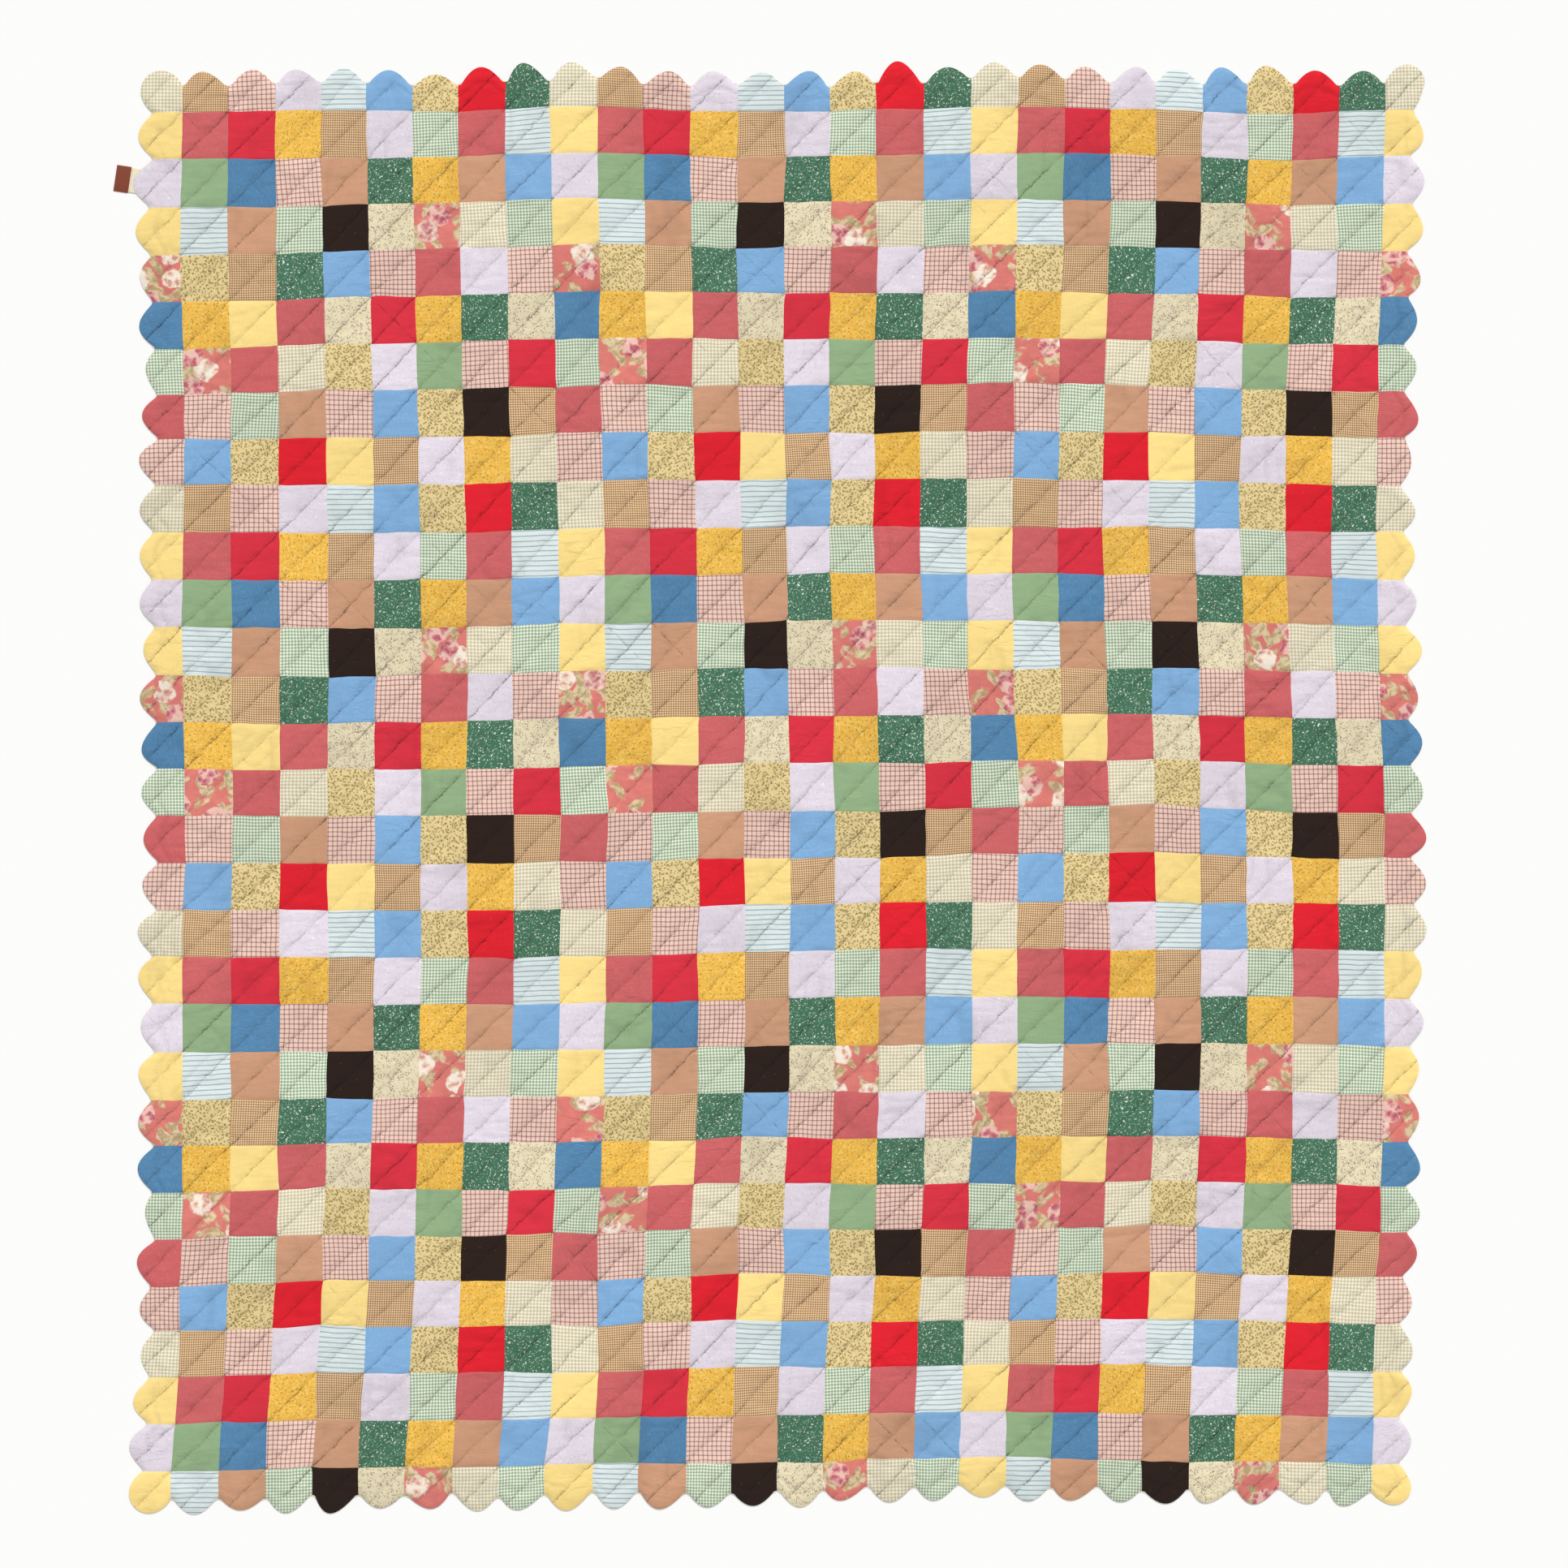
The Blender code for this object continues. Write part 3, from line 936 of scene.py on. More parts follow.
@dataclass
class EffectGroups:
    """Shader node groups for the effects that more than one cloth uses, each built once."""

    groups: dict[str, bpy.types.NodeTree] = field(default_factory=dict)

    def start(self, name: str, inputs: dict[str, float | str], outputs: tuple[str, ...]
              ) -> tuple[Wiring, dict, bpy.types.Node]:
        """Starts a group.

        Args:
            name: the group's name.
            inputs: default numbers by name, or "vector".
            outputs: names of the numbers that it puts out.

        Returns:
            The group's wiring, its input sockets by name, and its output node.
        """
        tree = bpy.data.node_groups.new(name, "ShaderNodeTree")
        for key, value in inputs.items():
            kind = "NodeSocketVector" if value == "vector" else "NodeSocketFloat"
            socket = tree.interface.new_socket(key, in_out="INPUT", socket_type=kind)
            if value != "vector":
                socket.default_value = value
        for key in outputs:
            tree.interface.new_socket(key, in_out="OUTPUT", socket_type="NodeSocketFloat")
        wiring = Wiring(tree)
        given = wiring.node("NodeGroupInput").outputs
        self.groups[name] = tree
        return wiring, {key: given[key] for key in inputs}, wiring.node("NodeGroupOutput")

    def use(self, wiring: Wiring, name: str, **inputs: SocketValue) -> bpy.types.bpy_prop_collection:
        """Places a group in a tree and returns its outputs."""
        node = wiring.node("ShaderNodeGroup", node_tree=self.groups[name])
        for key, value in inputs.items():
            wiring.feed(node.inputs[key.replace("_", " ")], value)
        return node.outputs

    def build(self) -> None:
        """Builds every group."""
        self.build_weave()
        self.build_quilting()
        self.build_wash()
        self.build_bands()
        self.build_scatter()
        self.build_curls()

    def build_weave(self) -> None:
        """Plain weave: threads over and under each other, with thick and thin places."""
        w, given, out = self.start(
            "plain weave", {"Cloth": "vector", "Threads": 150.0, "Slub": 0.5}, ("Height", "Shade")
        )
        split = w.node("ShaderNodeSeparateXYZ", {0: given["Cloth"]}).outputs
        turns = w.math("MULTIPLY", given["Threads"], math.pi)
        warp = w.math("SINE", w.math("MULTIPLY", split[0], turns))
        weft = w.math("SINE", w.math("MULTIPLY", split[1], turns))
        w.feed(out.inputs["Height"], w.math("MULTIPLY", warp, weft))
        upright = w.noise(w.turned(given["Cloth"], scale=(75.0, 3.0, 1.0)), 1.0, 1.0).outputs[0]
        level = w.noise(w.turned(given["Cloth"], scale=(3.0, 75.0, 1.0)), 1.0, 1.0).outputs[0]
        both = w.math("SUBTRACT", w.math("ADD", upright, level), 1.0)
        w.feed(out.inputs["Shade"], w.math("MULTIPLY", both, given["Slub"]))

    def build_quilting(self) -> None:
        """A slanting line of stitches sunk in a jagged puckered groove, and a fainter crease across it, with
        a mask of painted shade along both.
        """
        w, given, out = self.start(
            "quilting line", {"Quilting": "vector", "Pull": 1.0, "Cross": 0.0}, ("Line", "Height")
        )
        split = w.node("ShaderNodeSeparateXYZ", {0: given["Quilting"]}).outputs
        place = w.turned(given["Quilting"], -45.0, (0.7, 0.7, 1.0))
        stray = w.math("MULTIPLY", w.math("SUBTRACT", w.noise(place, 24.0, 0.0).outputs[0], 0.5), 0.080)
        distances = []
        for axis in (1, 0):
            moved = w.math("ADD", split[axis], stray)
            off = w.math("SUBTRACT", moved, w.math("ROUND", moved))
            distances.append(w.math("MULTIPLY", w.math("ABSOLUTE", off), LINE_SPACING))
        off, across = distances
        pull, creased = given["Pull"], given["Cross"]
        # Painted shade: a thin dark core along the stitch groove and along the crease across it.
        sewn = w.math("MULTIPLY", w.ramp(off, 0.20, 1.45, 1.0, 0.0), pull)
        crease = w.math("MULTIPLY", w.ramp(across, 0.10, 1.2, 1.0, 0.0), creased)
        w.feed(out.inputs["Line"], w.math("MAXIMUM", sewn, crease))
        wide = w.math("MULTIPLY", w.ramp(off, 0.0, 4.5, 1.0, 0.0), w.math("MULTIPLY_ADD", pull, 0.8, 0.2))
        fold = w.math("MULTIPLY", w.ramp(across, 0.0, 4.0, 1.0, 0.0), creased)
        ridges = w.noise(w.turned(place, scale=(0.8, 1.3, 1.0)), 11.0, 1.0).outputs[0]
        reach = w.ramp(off, 1.0, 14.0, 1.0, 0.15)
        pucker = w.math("MULTIPLY", w.math("MULTIPLY", w.math("SUBTRACT", ridges, 0.5), reach), 1.8)
        sunk = w.math("MULTIPLY", w.math("MAXIMUM", wide, fold), 1.1)
        w.feed(out.inputs["Height"], w.math("SUBTRACT", pucker, sunk))

    def build_wash(self) -> None:
        """Fading in the wash: soft blotches, small creases and worn places, and painted shade where the cloth
        lies deep in a fold or stitch groove.
        """
        w, given, out = self.start(
            "washing", {"Place": "vector", "Tone": 0.5, "Fold": 0.0, "Soft": 0.5}, ("Fade", "Height", "Rough")
        )
        soft = given["Soft"]
        fine = w.noise(given["Place"], 280.0, 1.0).outputs[0]
        fade = w.math("MULTIPLY_ADD", w.math("SUBTRACT", soft, 0.5), 0.16, 1.0)
        fade = w.math("MULTIPLY_ADD", w.math("SUBTRACT", fine, 0.5), 0.07, fade)
        fade = w.math("MULTIPLY_ADD", w.math("SUBTRACT", given["Tone"], 0.5), 0.10, fade)
        # Painted shade: the colour is up to 16 % darker where the cloth lies deep in a fold or stitch groove.
        w.feed(out.inputs["Fade"], w.math("MULTIPLY_ADD", given["Fold"], -0.16, fade))
        level = w.noise(w.turned(given["Place"], 4.0, (0.55, 1.5, 1.0)), 58.0, 1.0, 0.45).outputs[0]
        ridge = w.math("ABSOLUTE", w.math("SUBTRACT", level, 0.5))
        few = w.ramp(soft, 0.50, 0.64)
        crinkle = w.math("MULTIPLY", w.math("MULTIPLY", w.ramp(ridge, 0.0, 0.09), few), 0.42)
        rolling = w.math("MULTIPLY_ADD", level, 1.9, crinkle)
        w.feed(out.inputs["Height"], w.math("MULTIPLY_ADD", fine, 0.20, rolling))
        w.feed(out.inputs["Rough"], w.math("MULTIPLY_ADD", soft, 0.12, 0.80))

    def build_bands(self) -> None:
        """Even bands of coloured thread, upright and level."""
        w, given, out = self.start(
            "thread bands",
            {"Cloth": "vector", "Count": 15.0, "Share": 0.5, "Soft": 0.08},
            ("Upright", "Level"),
        )
        split = w.node("ShaderNodeSeparateXYZ", {0: given["Cloth"]}).outputs
        for output, place in (("Upright", split[0]), ("Level", split[1])):
            there_and_back = w.math("PINGPONG", w.math("MULTIPLY", place, given["Count"]), 0.5)
            edge = w.math("SUBTRACT", w.math("MULTIPLY", given["Share"], 0.5), there_and_back)
            twice = w.math("MULTIPLY", given["Soft"], 2.0)
            share = w.math("DIVIDE", w.math("ADD", edge, given["Soft"]), twice)
            w.feed(out.inputs[output], w.clamped(share))

    def build_scatter(self) -> None:
        """Small scattered printed marks, each with its own number."""
        w, given, out = self.start(
            "scattered marks",
            {"Cloth": "vector", "Scale": 20.0, "Size": 0.3, "Soft": 0.08, "Bend": 0.2},
            ("Mark", "Pick"),
        )
        stir = w.node(
            "ShaderNodeTexNoise", {"Vector": given["Cloth"], "Scale": given["Scale"], "Detail": 1.0}
        )
        half = (0.5, 0.5, 0.5)
        pull = w.node("ShaderNodeVectorMath", {0: stir.outputs["Color"], 1: half}, operation="SUBTRACT")
        bent = w.scaled(pull.outputs[0], w.math("DIVIDE", given["Bend"], given["Scale"]))
        place = w.node("ShaderNodeVectorMath", {0: given["Cloth"], 1: bent}, operation="ADD")
        cells = w.node(
            "ShaderNodeTexVoronoi", {"Vector": place.outputs[0], "Scale": given["Scale"]},
            voronoi_dimensions="2D",
        )
        edge = w.math("SUBTRACT", given["Size"], cells.outputs["Distance"])
        w.feed(out.inputs["Mark"], w.clamped(w.math("DIVIDE", edge, given["Soft"])))
        pick = w.node("ShaderNodeSeparateXYZ", {0: cells.outputs["Color"]}).outputs[0]
        w.feed(out.inputs["Pick"], pick)

    def build_curls(self) -> None:
        """Thin curling printed lines that follow the level lines of a noise."""
        w, given, out = self.start(
            "printed curls", {"Cloth": "vector", "Scale": 20.0, "Width": 0.03}, ("Curl",)
        )
        hills = w.node(
            "ShaderNodeTexNoise",
            {"Vector": given["Cloth"], "Scale": given["Scale"], "Detail": 1.0, "Roughness": 0.4},
            noise_dimensions="2D",
        ).outputs[0]
        off = w.math("ABSOLUTE", w.math("SUBTRACT", hills, 0.5))
        soft = w.math("MULTIPLY", given["Width"], 0.4)
        share = w.math("DIVIDE", w.math("SUBTRACT", given["Width"], off), soft)
        w.feed(out.inputs["Curl"], w.clamped(share))


@dataclass
class ClothMaterial:
    """A new material, wired up by its cloth and finished with one matt, slightly downy shader."""

    name: str
    material: bpy.types.Material = field(init=False)
    wiring: Wiring = field(init=False)

    def __post_init__(self) -> None:
        """Starts an empty material."""
        self.material = bpy.data.materials.new(self.name)
        self.material.use_nodes = True
        self.material.node_tree.nodes.clear()
        self.wiring = Wiring(self.material.node_tree)

    def finish(self, colour: SocketValue, rough: SocketValue, height: SocketValue,
               depth: float, sheen: float = 0.1, specular: float = 0.2) -> bpy.types.Material:
        """Adds the bump, the shader and the output.

        Args:
            colour: the cloth's colour.
            rough: its roughness.
            height: its fine relief.
            depth: how deep a height of one is, in metres.
            sheen: how downy it is.
            specular: how much it shines.

        Returns:
            The finished material.
        """
        w = self.wiring
        bump = w.node("ShaderNodeBump", {"Height": height, "Strength": 1.0, "Distance": depth})
        inputs = {
            "Base Color": colour,
            "Roughness": rough,
            "Normal": bump.outputs[0],
            "Sheen Weight": sheen,
            "Sheen Roughness": 0.5,
            "Specular IOR Level": specular,
        }
        shader = w.node("ShaderNodeBsdfPrincipled", inputs)
        w.feed(w.node("ShaderNodeOutputMaterial").inputs["Surface"], shader.outputs[0])
        return self.material


@dataclass(frozen=True)
class Cotton:
    """A plain dyed cotton, and what every other cotton of the quilt is made from."""

    name: str
    ground: str
    threads: float = 150.0
    slub: float = 0.10
    fleck: float = 0.0

    def dye(self, w: Wiring, effects: EffectGroups, cloth: bpy.types.NodeSocket) -> bpy.types.NodeSocket:
        """Makes the fabric's colours.

        Args:
            w: the material's wiring.
            effects: the shared effects.
            cloth: where a point lies in the woven cloth.

        Returns:
            The colour socket.
        """
        ground = srgb(self.ground)
        if not self.fleck:
            return w.blend(0.0, ground, ground)
        streak = w.noise(w.turned(cloth, 0.0, (9.0, 60.0, 1.0)), 1.0, 3.0).outputs[0]
        light = tuple(c + (1 - c) * self.fleck for c in ground)
        return w.blend(w.ramp(streak, 0.45, 0.75), ground, light)

    def material(self, effects: EffectGroups) -> bpy.types.Material:
        """Builds the finished material: dye, weave, quilting, washing and wear, with painted shade in the
        stitch grooves, creases and folds.

        Args:
            effects: the shared effects.

        Returns:
            The material.
        """
        made = ClothMaterial(f"cotton {self.name.replace('_', ' ')}")
        w = made.wiring
        cloth = w.node("ShaderNodeUVMap", uv_map="cloth").outputs[0]
        quilting = w.node("ShaderNodeUVMap", uv_map="quilting").outputs[0]
        place = w.node("ShaderNodeTexCoord").outputs["Object"]
        tone, fold, pull, cross, soft = (
            w.node("ShaderNodeAttribute", attribute_name=name).outputs["Fac"] for name in CLOTH_VALUES
        )
        weave = effects.use(w, "plain weave", Cloth=cloth, Threads=self.threads, Slub=self.slub)
        stitched = effects.use(w, "quilting line", Quilting=quilting, Pull=pull, Cross=cross)
        wash = effects.use(w, "washing", Place=place, Tone=tone, Fold=fold, Soft=soft)
        colour = self.dye(w, effects, cloth)
        light = w.math("ADD", wash["Fade"], weave["Shade"])
        # Painted shade: the colour is up to 64 % darker along the stitch grooves and the creases across them.
        light = w.math("MULTIPLY", light, w.math("MULTIPLY_ADD", stitched["Line"], -0.64, 1.0))
        height = w.math("MULTIPLY_ADD", weave["Height"], 0.05, wash["Height"])
        height = w.math("ADD", height, stitched["Height"])
        return made.finish(w.scaled(colour, light), wash["Rough"], height, 0.7 * MM, sheen=0.12)


@dataclass(frozen=True)
class CheckedCotton(Cotton):
    """A woven check: coloured bands both ways, darkest where they cross."""

    band: str = "ffffff"
    crossing: str = "ffffff"
    count: float = 15.0
    share: float = 0.5
    level_only: bool = False

    def dye(self, w: Wiring, effects: EffectGroups, cloth: bpy.types.NodeSocket) -> bpy.types.NodeSocket:
        """Makes the check's colours."""
        bands = effects.use(w, "thread bands", Cloth=cloth, Count=self.count, Share=self.share)
        if self.level_only:
            return w.blend(bands["Level"], srgb(self.ground), srgb(self.band))
        either = w.math("MAXIMUM", bands["Upright"], bands["Level"])
        both = w.math("MINIMUM", bands["Upright"], bands["Level"])
        one = w.blend(either, srgb(self.ground), srgb(self.band))
        return w.blend(both, one, srgb(self.crossing))


@dataclass(frozen=True)
class Marks:
    """One screen of a print: small marks of one colour."""

    ink: str
    scale: float
    size: float
    turn: float = 0.0
    stretch: float = 1.0
    keep: float = 1.0
    bend: float = 0.3
    clusters: float = 0.0


@dataclass(frozen=True)
class PrintedCotton(Cotton):
    """A cotton printed with scattered marks and curls."""

    screens: tuple[Marks, ...] = ()
    curl_ink: str = ""
    curl_scale: float = 20.0
    curl_width: float = 0.03

    def dye(self, w: Wiring, effects: EffectGroups, cloth: bpy.types.NodeSocket) -> bpy.types.NodeSocket:
        """Makes the print's colours, one screen after another."""
        ground = srgb(self.ground)
        colour = w.blend(0.0, ground, ground)
        if self.curl_ink:
            curl = effects.use(w, "printed curls", Cloth=cloth, Scale=self.curl_scale, Width=self.curl_width)
            colour = w.blend(curl["Curl"], colour, srgb(self.curl_ink))
        for number, screen in enumerate(self.screens):
            shift = (0.37 * number, 0.61 * number, 0.0)
            placed = w.turned(cloth, screen.turn, (1.0, screen.stretch, 1.0), shift)
            marks = effects.use(
                w, "scattered marks", Cloth=placed, Scale=screen.scale, Size=screen.size, Bend=screen.bend
            )
            kept = w.math("LESS_THAN", marks["Pick"], screen.keep)
            if screen.clusters:
                close = w.noise(cloth, screen.clusters, 1.0).outputs[0]
                kept = w.math("MULTIPLY", kept, w.ramp(close, 0.48, 0.54))
            colour = w.blend(w.math("MULTIPLY", marks["Mark"], kept), colour, srgb(screen.ink))
        return colour


@dataclass(frozen=True)
class RoseCotton(Cotton):
    """A furnishing cotton with loose washed-out roses and pale leaves."""

    bloom: tuple[str, str, str] = ("bb5f70", "d98a8d", "efc3b4")
    pale_bloom: tuple[str, str, str] = ("d99c8d", "f0d3bd", "faeddd")
    leaf: str = "b5a777"
    leaf_edge: str = "e3d3aa"

    def petals(self, w: Wiring, depth: bpy.types.NodeSocket,
               colours: tuple[str, str, str]) -> bpy.types.NodeSocket:
        """Shades the petals of one kind of rose.

        Args:
            w: the material's wiring.
            depth: 0 in a petal's fold and 1 at its rim.
            colours: the fold's, the petal's and the rim's colour.

        Returns:
            The colour socket.
        """
        inner = w.blend(w.ramp(depth, 0.12, 0.34), srgb(colours[0]), srgb(colours[1]))
        return w.blend(w.ramp(depth, 0.34, 0.56), inner, srgb(colours[2]))

    def dye(self, w: Wiring, effects: EffectGroups, cloth: bpy.types.NodeSocket) -> bpy.types.NodeSocket:
        """Makes the roses' and leaves' colours."""
        blotch = w.noise(cloth, 3.0, 3.0, 0.6)
        ground = srgb(self.ground)
        colour = w.blend(w.ramp(blotch.outputs[0], 0.35, 0.70), ground, tuple(c * 1.12 for c in ground))
        stirred = w.noise(cloth, 5.0, 2.0, 0.55)
        bent = w.blend(0.16, cloth, stirred.outputs["Color"])
        heads = w.node("ShaderNodeTexVoronoi", {"Vector": bent, "Scale": 1.65}, voronoi_dimensions="2D")
        off = heads.outputs["Distance"]
        pick = w.node("ShaderNodeSeparateXYZ", {0: heads.outputs["Color"]}).outputs
        around = w.ramp(off, 0.60, 0.70, 1.0, 0.0)
        for turn, shift in ((35.0, (0.2, 0.7, 0.0)), (-50.0, (0.6, 0.1, 0.0))):
            placed = w.turned(bent, turn, (1.0, 0.48, 1.0), shift)
            leaves = effects.use(
                w, "scattered marks", Cloth=placed, Scale=4.0, Size=0.42, Soft=0.10, Bend=0.6
            )
            kept = w.math("LESS_THAN", leaves["Pick"], 0.62)
            mask = w.math("MULTIPLY", w.math("MULTIPLY", leaves["Mark"], kept), around)
            vein = w.noise(placed, 14.0, 2.0).outputs[0]
            green = w.blend(w.ramp(vein, 0.40, 0.60), srgb(self.leaf), srgb(self.leaf_edge))
            colour = w.blend(w.math("MULTIPLY", mask, 0.85), colour, green)
        curls = w.noise(cloth, 9.0, 2.0, 0.5)
        curled = w.blend(0.14, bent, curls.outputs["Color"])
        folds = w.node("ShaderNodeTexVoronoi", {"Vector": curled, "Scale": 7.5}, voronoi_dimensions="2D")
        depth = folds.outputs["Distance"]
        full = self.petals(w, depth, self.bloom)
        pale = self.petals(w, depth, self.pale_bloom)
        roses = w.blend(w.ramp(pick[1], 0.56, 0.60), full, pale)
        open_here = w.math("MULTIPLY", w.ramp(off, 0.30, 0.37, 1.0, 0.0), w.math("LESS_THAN", pick[0], 0.80))
        return w.blend(open_here, colour, roses)


LINT = Marks("d8cfc8", 2.6, 0.024, keep=0.45)
COTTONS = (
    Cotton("yellow", "fee08e"),
    Cotton("rose", "cd6163", slub=0.12, fleck=0.05),
    PrintedCotton("red", "e21c2c", screens=(LINT,)),
    Cotton("crimson", "da3041"),
    Cotton("sage", "94b186"),
    Cotton("denim", "5083ac", slub=0.16, fleck=0.07),
    Cotton("sky_blue", "80afdb", slub=0.12, fleck=0.07),
    Cotton("tan", "ce9b7b", slub=0.12),
    PrintedCotton("black", "27170f", screens=(LINT,)),
    CheckedCotton("mint_gingham", "f6f2e4", band="bccdb1", crossing="82a681", count=15.0, share=0.48),
    CheckedCotton("cream_gingham", "f7f2e0", band="dfd5b9", crossing="cabf99", count=13.5, share=0.48),
    CheckedCotton("tan_gingham", "ecd2ab", band="c49b6f", crossing="986c44", count=20.0, share=0.46),
    CheckedCotton("pink_plaid", "f0d0bf", band="b38480", crossing="8c5d5b", count=10.0, share=0.21),
    CheckedCotton("pale_stripe", "dde8e7", band="8ba2ac", count=9.5, share=0.18, level_only=True),
    PrintedCotton(
        "lilac_dot", "e5dbe6",
        screens=(Marks("dcd0e0", 12.0, 0.22, 30.0, 0.5, 0.5), Marks("f5f0f5", 7.0, 0.13, keep=0.5, bend=0.9)),
    ),
    PrintedCotton(
        "green_speck", "467359",
        screens=(
            Marks("86a88e", 17.0, 0.21, 30.0, 0.7, 0.75, 0.6),
            Marks("b6cab5", 14.0, 0.15, 60.0, 0.7, 0.55, 0.8),
            Marks("f2f3ec", 10.0, 0.15, 10.0, 0.8, 0.62, 1.2),
            Marks("e6ebe0", 12.0, 0.12, 70.0, 0.6, 0.35, 1.2),
            Marks("d6a3a6", 10.0, 0.11, 0.0, 1.0, 0.20),
        ),
    ),
    PrintedCotton(
        "tan_leaf", "e7d097",
        screens=(
            Marks("b9a468", 14.0, 0.30, 40.0, 0.7, 0.80, 0.5),
            Marks("a08b52", 15.0, 0.27, -48.0, 0.65, 0.75, 0.5),
            Marks("8a7a4a", 16.0, 0.20, 100.0, 0.7, 0.60, 0.5),
        ),
    ),
    PrintedCotton(
        "cream_sprig", "e9ddba",
        screens=(
            Marks("bfb18f", 17.0, 0.24, 55.0, 0.6, 0.70, 0.8),
            Marks("a18a7d", 18.0, 0.23, -35.0, 0.7, 0.75, 0.8, 6.0),
            Marks("ab8790", 16.0, 0.22, 15.0, 0.8, 0.65, 0.8, 6.0),
            Marks("8f8167", 20.0, 0.20, 80.0, 0.7, 0.60, 0.8, 6.0),
        ),
    ),
    PrintedCotton(
        "gold_curl", "ecb645", curl_ink="f6cd6c", curl_scale=13.0, curl_width=0.055,
        screens=(
            Marks("c48e38", 13.0, 0.21, 20.0, 0.6, 0.75, 0.9),
            Marks("f5d078", 13.0, 0.20, 60.0, 0.8, 0.5, 0.6),
        ),
    ),
    RoseCotton("chintz", "d87a71"),
)


@dataclass
class PatchworkTop:
    """The pieced and quilted top, one joined piece for each of its cottons."""

    grid: SewnGrid
    effects: EffectGroups
    cells: int = 20
    first_cell: float = 0.45
    relief: QuiltedRelief = field(default_factory=QuiltedRelief)

    def build(self) -> list[bpy.types.Object]:
        """Builds all the patches.

        Returns:
            The pieces.
        """
        plan = PatchPlan(self.grid, graded_spacing(self.cells, self.first_cell))
        # folds tells how deep each point lies in a fold or groove; it darkens the colour as painted shade.
        heights, folds = self.relief.top(plan)
        places = self.relief.shifted(plan)
        points = np.concatenate([places, heights[..., None]], axis=-1)
        rng = np.random.default_rng(SEED + 5)
        count = len(plan.patches)
        tones = rng.uniform(0, 1, count)
        offsets = rng.uniform(0, 9, (count, 2))
        turns = rng.integers(0, 4, count)
        skews = rng.normal(0, math.radians(1.0), count)
        pulls = rng.uniform(0.35, 1.0, count)
        crosses = np.clip(rng.normal(-0.45, 0.55, count), 0, 0.8)
        soft = self.relief.soft_blotches(plan)
        firm, creased = self.relief.firmness(plan)
        pieces = []
        for cotton in COTTONS:
            chosen = [k for k, patch in enumerate(plan.patches) if patch.fabric == cotton.name]
            striped = isinstance(cotton, CheckedCotton) and cotton.level_only
            cloth = [
                self.cloth_map(plan, k, offsets[k], 0.0 if striped else turns[k] * math.pi / 2, skews[k])
                for k in chosen
            ]
            lines = plan.across[chosen] + plan.down[chosen]
            run = plan.across[chosen] - plan.down[chosen]
            steps = self.cells + 1
            maps = {
                "cloth": np.concatenate(cloth),
                "quilting": np.stack([run.ravel(), lines.ravel()], axis=-1),
                "OFBake": self.bake_map(plan.spacing, len(chosen)),
            }
            values = {
                "tone": np.repeat(tones[chosen], steps * steps),
                "pull": (pulls[chosen, None, None] * firm[chosen]).ravel(),
                "cross": (crosses[chosen, None, None] * creased[chosen]).ravel(),
                "soft": soft[chosen].ravel(),
                # Painted shade in the folds and stitch grooves.
                "fold": folds[chosen].ravel(),
            }
            piece = cloth_object(
                f"patches_{cotton.name}", points[chosen].reshape(-1, 3),
                grid_faces(len(chosen), steps), maps, values,
            )
            piece.data.materials.append(cotton.material(self.effects))
            pieces.append(piece)
            LOG.info("%s: %d patches, %d triangles", piece.name, len(chosen), 2 * len(piece.data.polygons))
        return pieces

    def cloth_map(self, plan: PatchPlan, k: int, offset: np.ndarray, turn: float, skew: float) -> np.ndarray:
        """Where each point of a patch lies in its fabric, in patch widths.

        Args:
            plan: the patches in cells.
            k: the patch's number.
            offset: where it was cut from.
            turn: the quarter turns it was cut at.
            skew: how far off the thread it was cut.

        Returns:
            Two numbers for each point.
        """
        patch = plan.patches[k]
        s = (plan.across[k] - patch.column - 0.5).ravel()
        t = (patch.row + 0.5 - plan.down[k]).ravel()
        c, d = math.cos(turn + skew), math.sin(turn + skew)
        return np.stack([c * s - d * t + offset[0], d * s + c * t + offset[1]], axis=-1)

    def bake_map(self, spacing: np.ndarray, count: int) -> np.ndarray:
        """A map that gives every patch of a piece its own square.

        Args:
            spacing: the plan's spacing.
            count: the piece's patches.

        Returns:
            Two numbers for each point.
        """
        side = math.ceil(math.sqrt(count))
        u, v = np.meshgrid(spacing, spacing)
        local = np.stack([u.ravel(), v.ravel()], axis=-1) * 0.94 + 0.03
        corners = np.array([(k % side, k // side) for k in range(count)], float)
        return ((corners[:, None] + local[None]) / side).reshape(-1, 2)


